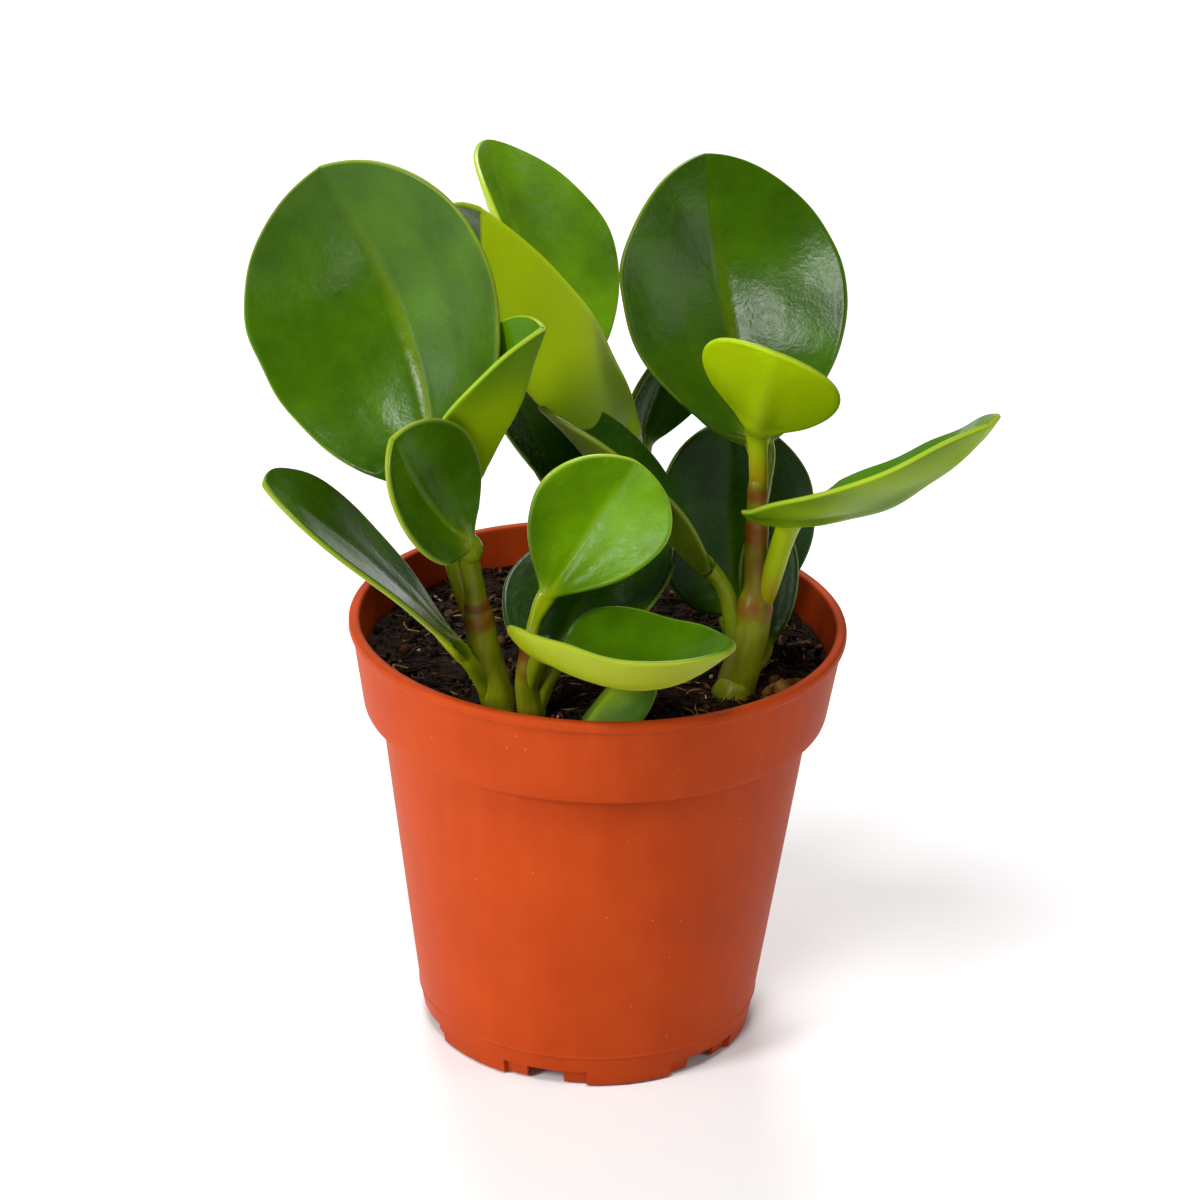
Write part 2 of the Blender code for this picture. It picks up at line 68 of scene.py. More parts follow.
def skin(name, rows, material, fields=None):
    """Object from a grid of points in millimetres from the pot's axis: rows of rings.

    rows has the shape (rings, points round a ring, 3). Neighbouring rings are joined by
    quads, each ring is joined to itself, and a flat face closes the first and last ring.
    fields holds one number per point, kept on the mesh under its name for the material.
    """
    rings, count = rows.shape[:2]
    here = np.arange(rings * count).reshape(rings, count)
    after = np.roll(here, -1, axis=1)
    quads = np.stack([here[:-1], after[:-1], after[1:], here[1:]], axis=-1).reshape(-1, 4)
    loops = np.concatenate([quads.reshape(-1), here[0][::-1], here[-1]])
    starts = np.concatenate([np.arange(len(quads)) * 4, [len(quads) * 4, len(quads) * 4 + count]])
    mesh = bpy.data.meshes.new(name)
    mesh.vertices.add(rings * count)
    place = (rows.reshape(-1, 3) + (axis_x, axis_y, 0.0)) / 1000
    mesh.vertices.foreach_set("co", place.astype(np.float32).ravel())
    mesh.loops.add(len(loops))
    mesh.loops.foreach_set("vertex_index", loops.astype(np.int32))
    mesh.polygons.add(len(starts))
    mesh.polygons.foreach_set("loop_start", starts.astype(np.int32))
    mesh.update(calc_edges=True)
    mesh.shade_smooth()
    for field, values in (fields or {}).items():
        every = np.broadcast_to(values, (rings, count)).astype(np.float32)
        kept = mesh.attributes.new(field, "FLOAT", "POINT")
        kept.data.foreach_set("value", every.ravel())
    mesh.materials.append(material)
    piece = bpy.data.objects.new(name, mesh)
    bpy.context.scene.collection.objects.link(piece)
    return piece


def linear(code):
    """Linear colour of an sRGB hex code: each channel is cut in two parts, then raised to 2.4."""
    part = np.array([int(code[k:k + 2], 16) for k in (1, 3, 5)]) / 255
    return (*np.where(part <= 0.04045, part / 12.92, ((part + 0.055) / 1.055) ** 2.4), 1.0)


def add_node(tree, kind, settings=(), **inputs):
    """Add a shader node, set its properties, and give each input a value or another node's output.

    An input is named by its label with spaces as underscores, or by i and its number.
    """
    made = tree.nodes.new(kind)
    for key, value in dict(settings).items():
        setattr(made, key, value)
    for label, value in inputs.items():
        numbered = label[0] == "i" and label[1:].isdigit()
        socket = made.inputs[int(label[1:]) if numbered else label.replace("_", " ")]
        if isinstance(value, bpy.types.NodeSocket):
            tree.links.new(value, socket)
        else:
            socket.default_value = value
    return made


def start_material(name):
    """A new material with its Principled shader, its tree, and the object's coordinates in metres."""
    made = bpy.data.materials.new(name)
    made.use_nodes = True
    tree = made.node_tree
    place = add_node(tree, "ShaderNodeTexCoord").outputs["Object"]
    return made, tree, tree.nodes["Principled BSDF"], place


# The foot ring is cut by six notches, wider than a drain hole and with rounded upper corners, and
# the wall is set back a little beside each. A ring has points of its own over a notch's span, at
# the notch's sides and corners and at the ends of its recess, and evenly spaced ones elsewhere.
FOOT_RADIUS = 35.2
NOTCH_TOP = 3.45
NOTCH_HALF_WIDTH = 4.1
NOTCH_CORNER = 1.4
RECESS_HALF_WIDTH = 9.0
NOTCH_SPAN = 0.275
notch_middles = np.radians(-14.0 + 60.0 * np.arange(6))
notch_reach = np.concatenate([
    [0, 1.4, 2.3],
    NOTCH_HALF_WIDTH - NOTCH_CORNER + NOTCH_CORNER * np.sin(np.radians([15, 35, 55, 70, 82])),
    [4.09, 4.11, 5.2, 7.0, 8.95, 9.05]])
notch_turns = np.arcsin(np.concatenate([-notch_reach[::-1], notch_reach[1:]]) / FOOT_RADIUS)
turns = np.linspace(0, 2 * np.pi, 288, endpoint=False)
from_notch = (turns[:, None] - notch_middles + np.pi) % (2 * np.pi) - np.pi
turns = turns[np.abs(from_notch).min(axis=1) > NOTCH_SPAN]
turns = np.sort(np.concatenate([turns, (notch_middles[:, None] + notch_turns).ravel() % (2 * np.pi)]))
from_notch = np.abs((turns[:, None] - notch_middles + np.pi) % (2 * np.pi) - np.pi).min(axis=1)
across_notch = FOOT_RADIUS * np.sin(from_notch)
corner = np.clip((across_notch - NOTCH_HALF_WIDTH + NOTCH_CORNER) / NOTCH_CORNER, 0, 1)
rounding = NOTCH_CORNER * (1 - np.sqrt(1 - corner ** 2))
notch_roof = np.where(across_notch < NOTCH_HALF_WIDTH, NOTCH_TOP - 0.08 - rounding, 0.0)
recess = (across_notch < RECESS_HALF_WIDTH).astype(float)

# The moulding's profile, turned round its axis: from the underside's middle round the foot, up
# the outside, over the lip and down the inside to the floor's middle. Each point is its distance
# from the axis, its height, how far it follows a notch's roof, and 1 where a recess sets it back.
RECESS_DEPTH = 1.1
arc = np.radians([10, 30, 50, 70, 90])
body_heights = np.linspace(8.2, 72.6, 24)
band_heights = np.linspace(74.6, 90.2, 8)
profile = [(0.5, 3.6, 0, 0), (20, 3.6, 0, 0), (32.4, 3.6, 0, 0), (32.7, 3.5, 0, 0), (32.75, 3.4, 0.02, 0),
           (32.8, 0, 0.5, 0), (32.85, 0, 0.92, 0), (33.1, 0, 1.0, 0), (33.7, 0, 1.0, 0),
           (34.85, 0, 1.0, 1), (35.12, 0, 0.93, 1), (35.4, 0, 0.5, 1), (35.72, 0, 0.02, 1),
           (35.74, 3.5, 0, 0), (35.8, 3.7, 0, 0), (36.25, 6.5, 0, 0), (36.38, 7.0, 0, 0),
           (36.62, 7.25, 0, 0), (36.68, 7.45, 0, 0), (36.58, 7.65, 0, 0), (36.55, 7.9, 0, 0)]
profile += [(36.5 + (h - 7.4) * 0.1377, h, 0, 0) for h in body_heights]
profile += [(45.5, 73.0, 0, 0), (45.6, 73.35, 0, 0), (45.85, 73.5, 0, 0), (48.35, 73.55, 0, 0)]
profile += [(48.35 + 0.65 * np.sin(a), 74.2 - 0.65 * np.cos(a), 0, 0) for a in arc]
profile += [(49.0 + (h - 73.6) * 0.1615, h, 0, 0) for h in band_heights]
profile += [(51.75, 90.5, 0, 0), (51.85, 90.68, 0, 0), (52.15, 90.8, 0, 0), (52.4, 91.0, 0, 0)]
profile += [(52.5, 91.3, 0, 0), (52.5, 92.0, 0, 0)]
profile += [(51.6 + 0.9 * np.cos(a), 92.15 + 0.9 * np.sin(a), 0, 0) for a in arc]
profile += [(50.9 - 0.7 * np.sin(a), 92.35 + 0.7 * np.cos(a), 0, 0) for a in arc]
profile += [(50.0, 90.5, 0, 0), (49.4, 86.0, 0, 0), (48.6, 80.0, 0, 0), (47.95, 75.4, 0, 0),
            (47.8, 75.0, 0, 0), (47.4, 74.75, 0, 0), (44.7, 74.55, 0, 0), (44.45, 74.3, 0, 0)]
profile += [(44.45 - (74.3 - h) * 0.1377, h, 0, 0) for h in (60, 45, 30, 15, 6)]
profile += [(34.75, 5.1, 0, 0), (34.4, 4.8, 0, 0), (20, 4.8, 0, 0), (0.5, 4.8, 0, 0)]
reach, height, down, set_back = np.array(profile, dtype=float).T[..., None]
pot_height = np.where(down > 0, NOTCH_TOP + (notch_roof - NOTCH_TOP) * down, height)
pot_radius = reach - RECESS_DEPTH * recess * set_back
# A thin rim is never quite round: it is pulled about 0.3 mm out of true towards the top.
pot_radius = pot_radius + 0.3 * (pot_height / 93) ** 3 * np.cos(2 * turns - 0.9) * (reach > 30)
# The turns run from the front (-Y) towards +X; the profile climbs the outside, so faces look out.
pot_rows = np.stack([pot_radius * np.sin(turns), -pot_radius * np.cos(turns),
                     np.broadcast_to(pot_height, pot_radius.shape)], axis=-1)


def terracotta_plastic():
    """Moulded polypropylene: an even orange body colour, a soft satin, faint flow and dust specks.

    The clouds in it are 26 mm across and the flow streaks 4 mm wide and eight times as long. The
    mould's grain of 0.4 mm breaks up the satin.
    """
    made, tree, shader, place = start_material("moulded terracotta polypropylene")
    clouds = add_node(tree, "ShaderNodeTexNoise", Vector=place, Scale=38.0, Detail=3.0, Roughness=0.6)
    flow = add_node(tree, "ShaderNodeMapping", Vector=place, Scale=(1.0, 1.0, 0.12))
    streaks = add_node(tree, "ShaderNodeTexNoise", Vector=flow.outputs["Vector"], Scale=260.0, Detail=2.0)
    blend = add_node(tree, "ShaderNodeMath", {"operation": "MULTIPLY_ADD"},
                     i0=streaks.outputs["Fac"], i1=0.35, i2=clouds.outputs["Fac"])
    tint = add_node(tree, "ShaderNodeMapRange", Value=blend.outputs["Value"], From_Min=0.5, From_Max=0.85)
    body = add_node(tree, "ShaderNodeMix", {"data_type": "RGBA"}, Factor=tint.outputs["Result"],
                    i6=linear("#a0380e"), i7=linear("#ab3f13"))
    # Dust: pale flecks well under a millimetre across, about one to the square centimetre.
    cells = add_node(tree, "ShaderNodeTexVoronoi", Vector=place, Scale=520.0)
    fleck = add_node(tree, "ShaderNodeMapRange", Value=cells.outputs["Distance"],
                     From_Min=0.16, From_Max=0.08, To_Min=0.0, To_Max=1.0)
    chosen = add_node(tree, "ShaderNodeSeparateColor", Color=cells.outputs["Color"])
    few = add_node(tree, "ShaderNodeMath", {"operation": "GREATER_THAN"}, i0=chosen.outputs["Red"], i1=0.96)
    dust = add_node(tree, "ShaderNodeMath", {"operation": "MULTIPLY"},
                    i0=fleck.outputs["Result"], i1=few.outputs["Value"])
    faint = add_node(tree, "ShaderNodeMath", {"operation": "MULTIPLY"}, i0=dust.outputs["Value"], i1=0.2)
    dusted = add_node(tree, "ShaderNodeMix", {"data_type": "RGBA"}, Factor=faint.outputs["Value"],
                      i6=body.outputs["Result"], i7=linear("#e8a686"))
    tree.links.new(dusted.outputs["Result"], shader.inputs["Base Color"])
    gloss = add_node(tree, "ShaderNodeMapRange", Value=clouds.outputs["Fac"], From_Min=0.3, From_Max=0.7,
                     To_Min=0.42, To_Max=0.52)
    tree.links.new(gloss.outputs["Result"], shader.inputs["Roughness"])
    grain = add_node(tree, "ShaderNodeTexNoise", Vector=place, Scale=2600.0, Detail=2.0)
    bump = add_node(tree, "ShaderNodeBump", Strength=0.25, Distance=0.00004, Height=grain.outputs["Fac"])
    tree.links.new(bump.outputs["Normal"], shader.inputs["Normal"])
    shader.inputs["Specular IOR Level"].default_value = 0.05
    return made


pot = skin("pot_moulding", pot_rows, terracotta_plastic())

# Six drain holes, each behind a notch: round plugs that reach through the floor are cut out of it.
HOLE_RADIUS = 3.5
HOLES_FROM_AXIS = 26
hole_turn = np.linspace(0, 2 * np.pi, 32, endpoint=False)
hole_ring = HOLE_RADIUS * np.stack([np.cos(hole_turn), np.sin(hole_turn), 0 * hole_turn], axis=-1)
for number, middle in enumerate(notch_middles):
    centre = HOLES_FROM_AXIS * np.array([np.sin(middle), -np.cos(middle), 0.0])
    ends = np.stack([hole_ring + centre + (0, 0, 2), hole_ring + centre + (0, 0, 7)])
    plug = skin("drain_plug_%d" % number, ends, pot.data.materials[0])
    bore = pot.modifiers.new("drain_%d" % number, "BOOLEAN")
    bore.operation = "DIFFERENCE"
    bore.solver = "EXACT"
    bore.object = plug
bpy.context.view_layer.update()
bored = bpy.data.meshes.new_from_object(pot.evaluated_get(bpy.context.evaluated_depsgraph_get()))
pot.modifiers.clear()
pot.data = bored
bored.set_sharp_from_angle(angle=np.radians(38))
for plug in [o for o in bpy.data.objects if o.name.startswith("drain_plug")]:
    bpy.data.objects.remove(plug, do_unlink=True)
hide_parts("pot")
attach(pot, "root")

# ---------------------------------------------------------------------------
# Soil. Moist potting mix, mostly dark peat: an uneven crumbly top almost 9 mm
# below the rim, with loose crumbs, golden coir fibres and slivers of bark lying
# on it. The ball below fills the pot down to its floor.
# ---------------------------------------------------------------------------
SOIL_LEVEL = 84.3
CRUMBS_REACH = 47.6
FIBRES_START_REACH = 46.5
FIBRES_REACH = 47.4


def waves(x, y, size, seed, count=9):
    """Smooth unevenness of about -1 to 1: sine waves about size long, in random directions, added."""
    rng = np.random.default_rng(seed)
    way = rng.uniform(0, 2 * np.pi, count)
    rate = 2 * np.pi / size * rng.uniform(0.7, 1.4, count)
    start = rng.uniform(0, 2 * np.pi, count)
    x, y = np.asarray(x)[..., None], np.asarray(y)[..., None]
    return np.sin(rate * (x * np.cos(way) + y * np.sin(way)) + start).sum(axis=-1) / np.sqrt(count) * 0.8


def soil_relief(x, y):
    """Height of the soil's top: gentle mounds, clods of about 5 mm and grains of about 2 mm.

    The clods and grains are folded waves, whose sharp valleys look like cracks between them.
    """
    mounds = 0.5 * waves(x, y, 34, 3)
    clods = 0.9 * (0.6 - np.abs(waves(x, y, 9, 5)))
    grains = 0.55 * (0.5 - np.abs(waves(x, y, 3.6, 7))) + 0.25 * waves(x, y, 1.7, 9)
    return SOIL_LEVEL + mounds + clods + grains


# The ball: rings from the middle of its underside, up the pot's inside, and in over its top.
soil_turn = np.linspace(0, 2 * np.pi, 420, endpoint=False)
soil_reach = np.concatenate([[48.75], np.linspace(48.6, 0.3, 170)])
ground_x = soil_reach[:, None] * np.sin(soil_turn)
ground_y = -soil_reach[:, None] * np.cos(soil_turn)
ground_z = soil_relief(ground_x, ground_y)
ground_z[0] -= 1.2
under_reach = np.array([0.3, 15, 30, 33.9, 34.2, 37, 41, 43.7, 47.2, 47.5])
under_height = np.array([5.1, 5.1, 5.1, 5.1, 5.6, 25, 54, 74.0, 75.2, 76.0])
under = np.stack([under_reach[:, None] * np.sin(soil_turn), -under_reach[:, None] * np.cos(soil_turn),
                  np.repeat(under_height[:, None], len(soil_turn), axis=1)], axis=-1)
soil_rows = np.concatenate([under, np.stack([ground_x, ground_y, ground_z], axis=-1)])


def potting_soil(name, dark, pale):
    """Moist peat: dark and paler brown patches of 5 mm and less, rough, with pits of about 1 mm."""
    made, tree, shader, place = start_material(name)
    patches = add_node(tree, "ShaderNodeTexNoise", Vector=place, Scale=190.0, Detail=6.0, Roughness=0.75)
    tone = add_node(tree, "ShaderNodeMapRange", Value=patches.outputs["Fac"], From_Min=0.42, From_Max=0.68)
    colour = add_node(tree, "ShaderNodeMix", {"data_type": "RGBA"}, Factor=tone.outputs["Result"],
                      i6=linear(dark), i7=linear(pale))
    tree.links.new(colour.outputs["Result"], shader.inputs["Base Color"])
    shader.inputs["Roughness"].default_value = 0.85
    shader.inputs["Specular IOR Level"].default_value = 0.1
    pits = add_node(tree, "ShaderNodeTexNoise", Vector=place, Scale=900.0, Detail=5.0, Roughness=0.7)
    bump = add_node(tree, "ShaderNodeBump", Strength=0.8, Distance=0.0005, Height=pits.outputs["Fac"])
    tree.links.new(bump.outputs["Normal"], shader.inputs["Normal"])
    return made


peat = potting_soil("moist peat potting mix", "#0a0502", "#301b0c")
soil = skin("soil_ball", soil_rows, peat)
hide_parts("soil")
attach(soil, "root")


def loose_pieces(name, points, faces, material):
    """One smooth object from points in millimetres from the pot's axis and a list of faces."""
    mesh = bpy.data.meshes.new(name)
    place = (points.reshape(-1, 3) + (axis_x, axis_y, 0.0)) / 1000
    mesh.from_pydata(place.tolist(), [], faces)
    mesh.shade_smooth()
    mesh.materials.append(material)
    piece = bpy.data.objects.new(name, mesh)
    bpy.context.scene.collection.objects.link(piece)
    return piece


def many(name, shape, faces, centres, frames, sizes, material):
    """One object of many copies of a small closed shape: each copy is turned, sized and placed.

    shape is (points, 3), frames (copies, 3, 3), sizes (copies, points) or (copies, 1).
    """
    points = np.einsum("kij,pj->kpi", frames, shape) * np.atleast_2d(sizes)[..., None] + centres[:, None]
    copies, count = points.shape[:2]
    every = np.asarray(faces)[None] + (np.arange(copies) * count)[:, None, None]
    return loose_pieces(name, points, every.reshape(-1, len(faces[0])).tolist(), material)


def random_turns(rng, count):
    """Random rotations: two random vectors made square to each other, and their cross product."""
    first = rng.normal(size=(count, 3))
    first /= np.linalg.norm(first, axis=1)[:, None]
    second = np.cross(first, rng.normal(size=(count, 3)))
    second /= np.linalg.norm(second, axis=1)[:, None]
    return np.stack([first, second, np.cross(first, second)], axis=-1)


# Crumbs: lumps of peat, bark and a few pale grains that lie loose on the top. Each one is an
# uneven icosahedron, whose corners are the corners of three golden rectangles.
golden = (1 + 5 ** 0.5) / 2
lump = np.array([(-1, golden, 0), (1, golden, 0), (-1, -golden, 0), (1, -golden, 0),
                 (0, -1, golden), (0, 1, golden), (0, -1, -golden), (0, 1, -golden),
                 (golden, 0, -1), (golden, 0, 1), (-golden, 0, -1), (-golden, 0, 1)]) / 1.9
lump_faces = [(0, 11, 5), (0, 5, 1), (0, 1, 7), (0, 7, 10), (0, 10, 11), (1, 5, 9), (5, 11, 4),
              (11, 10, 2), (10, 7, 6), (7, 1, 8), (3, 9, 4), (3, 4, 2), (3, 2, 6), (3, 6, 8),
              (3, 8, 9), (4, 9, 5), (2, 4, 11), (6, 2, 10), (8, 6, 7), (9, 8, 1)]
for name, count, small, large, dark, pale, seed in (
        ("soil_crumbs_dark", 1500, 0.35, 1.5, "#0e0704", "#2c190e", 21),
        ("soil_crumbs_brown", 420, 0.3, 1.3, "#3a2012", "#6b4226", 22),
        ("soil_grains_pale", 46, 0.3, 0.8, "#8d7453", "#c9b48e", 23)):
    rng = np.random.default_rng(seed)
    out = CRUMBS_REACH * np.sqrt(rng.random(count))
    turn = rng.uniform(0, 2 * np.pi, count)
    size = small + (large - small) * rng.random(count) ** 3
    centre = np.stack([out * np.cos(turn), out * np.sin(turn), np.zeros(count)], axis=-1)
    centre[:, 2] = soil_relief(centre[:, 0], centre[:, 1]) + size * 0.35
    uneven = size[:, None] * rng.uniform(0.7, 1.25, (count, len(lump)))
    flattened = random_turns(rng, count) * rng.uniform(0.5, 1.2, (count, 1, 3))
    crumb_peat = potting_soil(name.replace("_", " "), dark, pale)
    crumbs = many(name, lump, lump_faces, centre, flattened, uneven, crumb_peat)
    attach(crumbs, "root")


def threads(name, starts, ways, lengths, radii, material, seed, curl=0.5, sides=5, steps=9, lift=0.5):
    """Thin round fibres on the soil: each is an arc that bends at random and lies on the ground.

    The arc's direction turns evenly along it. Its height is the soil's mean height below it, plus
    a low hump and a slight slope. Its radius shrinks towards both ends.
    """
    rng = np.random.default_rng(seed)
    count = len(starts)
    s = np.linspace(0, 1, steps)
    bend = rng.normal(0, curl, (count, 1)) * s * 2
    angle = ways[:, None] + bend
    step = lengths[:, None] / (steps - 1)
    still = np.zeros((count, 1))
    x = starts[:, :1] + np.concatenate([still, np.cumsum(np.cos(angle[:, 1:]) * step, 1)], 1)
    y = starts[:, 1:] + np.concatenate([still, np.cumsum(np.sin(angle[:, 1:]) * step, 1)], 1)
    inside = np.minimum(1, FIBRES_REACH / np.maximum(np.hypot(x, y), 1e-6))
    x, y = x * inside, y * inside
    hump = rng.uniform(0.2, 1.0, (count, 1)) * lift * lengths[:, None] / 6
    z = soil_relief(x, y).mean(axis=1, keepdims=True) + 0.4 + hump * np.sin(np.pi * s) \
        + rng.uniform(-0.3, 1.0, (count, 1)) * lift * (s - 0.3)
    path = np.stack([x, y, z], axis=-1)
    along = np.gradient(path, axis=1)
    along /= np.linalg.norm(along, axis=2)[..., None]
    side = np.cross(along, (0, 0, 1.0))
    side /= np.linalg.norm(side, axis=2)[..., None]
    over = np.cross(side, along)
    turn = np.linspace(0, 2 * np.pi, sides, endpoint=False)
    taper = radii[:, None] * (1 - 0.6 * np.abs(2 * s - 1) ** 3)
    ring = (path[:, :, None] + taper[..., None, None] * (np.cos(turn)[:, None] * side[:, :, None]
                                                         - np.sin(turn)[:, None] * over[:, :, None]))
    here = np.arange(steps * sides).reshape(steps, sides)
    after = np.roll(here, -1, axis=1)
    quads = np.stack([here[:-1], after[:-1], after[1:], here[1:]], axis=-1).reshape(-1, 4)
    caps = np.stack([here[0][::-1], here[-1]])
    base = np.arange(count)[:, None, None] * steps * sides
    every = (quads[None] + base).reshape(-1, 4).tolist() + (caps[None] + base).reshape(-1, sides).tolist()
    piece = loose_pieces(name, ring, every, material)
    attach(piece, "root")
    return piece


def fibre(name, dark, pale):
    """Dry plant matter: dull, and blotched between two tones every 2 mm."""
    made, tree, shader, place = start_material(name)
    streak = add_node(tree, "ShaderNodeTexNoise", Vector=place, Scale=420.0, Detail=2.0)
    tone = add_node(tree, "ShaderNodeMapRange", Value=streak.outputs["Fac"], From_Min=0.35, From_Max=0.65)
    colour = add_node(tree, "ShaderNodeMix", {"data_type": "RGBA"}, Factor=tone.outputs["Result"],
                      i6=linear(dark), i7=linear(pale))
    tree.links.new(colour.outputs["Result"], shader.inputs["Base Color"])
    shader.inputs["Roughness"].default_value = 0.85
    shader.inputs["Specular IOR Level"].default_value = 0.15
    return made


for name, count, short, long, thin, thick, dark, pale, seed in (
        ("soil_fibres_golden", 170, 1.5, 8.0, 0.07, 0.2, "#6b4618", "#b58a42", 31),
        ("soil_fibres_dark", 520, 2.0, 10.0, 0.08, 0.26, "#1a100a", "#3c2415", 32),
        ("soil_bark_slivers", 60, 2.5, 7.0, 0.3, 0.6, "#3b2212", "#7a5230", 33)):
    rng = np.random.default_rng(seed)
    out = FIBRES_START_REACH * np.sqrt(rng.random(count))
    turn = rng.uniform(0, 2 * np.pi, count)
    starts = np.stack([out * np.cos(turn), out * np.sin(turn)], axis=-1)
    ways = rng.uniform(0, 2 * np.pi, count)
    lengths = rng.uniform(short, long, count)
    radii = rng.uniform(thin, thick, count)
    threads(name, starts, ways, lengths, radii, fibre(name.replace("_", " "), dark, pale), seed + 100)

# ---------------------------------------------------------------------------
# Stems. Four short round fleshy shoots, olive green, reddish brown at the
# nodes where leaves have grown. They come out of the soil and taper upwards.
# ---------------------------------------------------------------------------
# Points of each shoot's axis with the radius there, and its nodes: height, reach and brownness.
shoots = {
    "stem_left": ([(-19.7, -28, 74, 3.3), (-19.7, -28, 84.8, 3.5), (-22.5, -28, 96, 3.3),
                   (-24.3, -28.8, 105.5, 3.0), (-24.8, -29.3, 109, 2.4), (-26, -31, 118, 2.1)],
                  [(108.3, 1.1, 1.0), (105.2, 2.4, 0.85), (111.5, 2.0, 0.4), (87.5, 2.0, 0.2)]),
    "stem_middle": ([(-13, -31, 74, 2.6), (-13, -31, 85, 2.8), (-14, -31.5, 92, 2.5),
                     (-13.5, -32, 100, 2.0)],
                    [(99.5, 2.5, 0.9), (95, 1.6, 0.5), (86, 1.5, 0.3)]),
    "stem_right": ([(29, -16, 74, 4.0), (29, -16, 84.8, 4.1), (31.5, -15, 95, 3.6),
                    (32.3, -14.2, 103, 3.5), (32.4, -13.8, 108, 2.6), (32, -12.5, 119, 2.3),
                    (32, -11.5, 129, 2.0)],
                   [(127.0, 2.0, 0.8), (119, 3.5, 1.0), (111, 5.0, 0.5), (102.5, 3.5, 0.7),
                    (88, 4.0, 0.2)]),
    "stem_back": ([(4, 18, 74, 3.0), (4, 18, 85, 3.1), (5, 18, 100, 2.8), (7, 17.5, 116, 2.3)],
                  [(113, 2.5, 0.8), (104, 2.0, 0.6)]),
}


def smooth_path(points, count):
    """A smooth curve through points: Hermite cubics, whose slopes are those of the chords there."""
    points = np.array(points, dtype=float)
    slope = np.gradient(points, axis=0)
    t = np.linspace(0, len(points) - 1, count)
    k = np.minimum(t.astype(int), len(points) - 2)
    s = (t - k)[:, None]
    start, end = points[k], points[k + 1]
    return ((2 * s**3 - 3 * s**2 + 1) * start + (s**3 - 2 * s**2 + s) * slope[k]
            + (-2 * s**3 + 3 * s**2) * end + (s**3 - s**2) * slope[k + 1])


def fleshy_stem():
    """Succulent skin: waxy olive green that turns red-brown where the brown field is high.

    The brown comes in blotches of 4 mm. Lengthwise streaks 1 mm wide and a little light scattered
    under the skin give it its depth.
    """
    made, tree, shader, place = start_material("fleshy peperomia stem")
    brown = add_node(tree, "ShaderNodeAttribute", {"attribute_name": "brown"}).outputs["Fac"]
    squeezed = add_node(tree, "ShaderNodeMapping", Vector=place, Scale=(1.0, 1.0, 0.2))
    streak = add_node(tree, "ShaderNodeTexNoise", Vector=squeezed.outputs["Vector"], Scale=900.0, Detail=3.0)
    blotch = add_node(tree, "ShaderNodeTexNoise", Vector=place, Scale=260.0, Detail=3.0)
    green = add_node(tree, "ShaderNodeMix", {"data_type": "RGBA"}, Factor=streak.outputs["Fac"],
                     i6=linear("#585f06"), i7=linear("#7c830e"))
    patchy = add_node(tree, "ShaderNodeMath", {"operation": "MULTIPLY_ADD"},
                      i0=blotch.outputs["Fac"], i1=1.3, i2=-0.65)
    browned = add_node(tree, "ShaderNodeMath", {"operation": "ADD", "use_clamp": True},
                       i0=patchy.outputs["Value"], i1=brown)
    soft = add_node(tree, "ShaderNodeMapRange", {"interpolation_type": "SMOOTHSTEP"},
                    Value=browned.outputs["Value"], From_Min=0.05, From_Max=1.0)
    bark = add_node(tree, "ShaderNodeMix", {"data_type": "RGBA"}, Factor=blotch.outputs["Fac"],
                    i6=linear("#431b02"), i7=linear("#7d4a0a"))
    colour = add_node(tree, "ShaderNodeMix", {"data_type": "RGBA"}, Factor=soft.outputs["Result"],
                      i6=green.outputs["Result"], i7=bark.outputs["Result"])
    tree.links.new(colour.outputs["Result"], shader.inputs["Base Color"])
    bump = add_node(tree, "ShaderNodeBump", Strength=0.3, Distance=0.0002, Height=streak.outputs["Fac"])
    tree.links.new(bump.outputs["Normal"], shader.inputs["Normal"])
    shader.inputs["Roughness"].default_value = 0.38
    shader.inputs["Specular IOR Level"].default_value = 0.2
    shader.inputs["Subsurface Weight"].default_value = 0.12
    shader.inputs["Subsurface Radius"].default_value = (0.9, 1.0, 0.2)
    shader.inputs["Subsurface Scale"].default_value = 0.0012
    return made


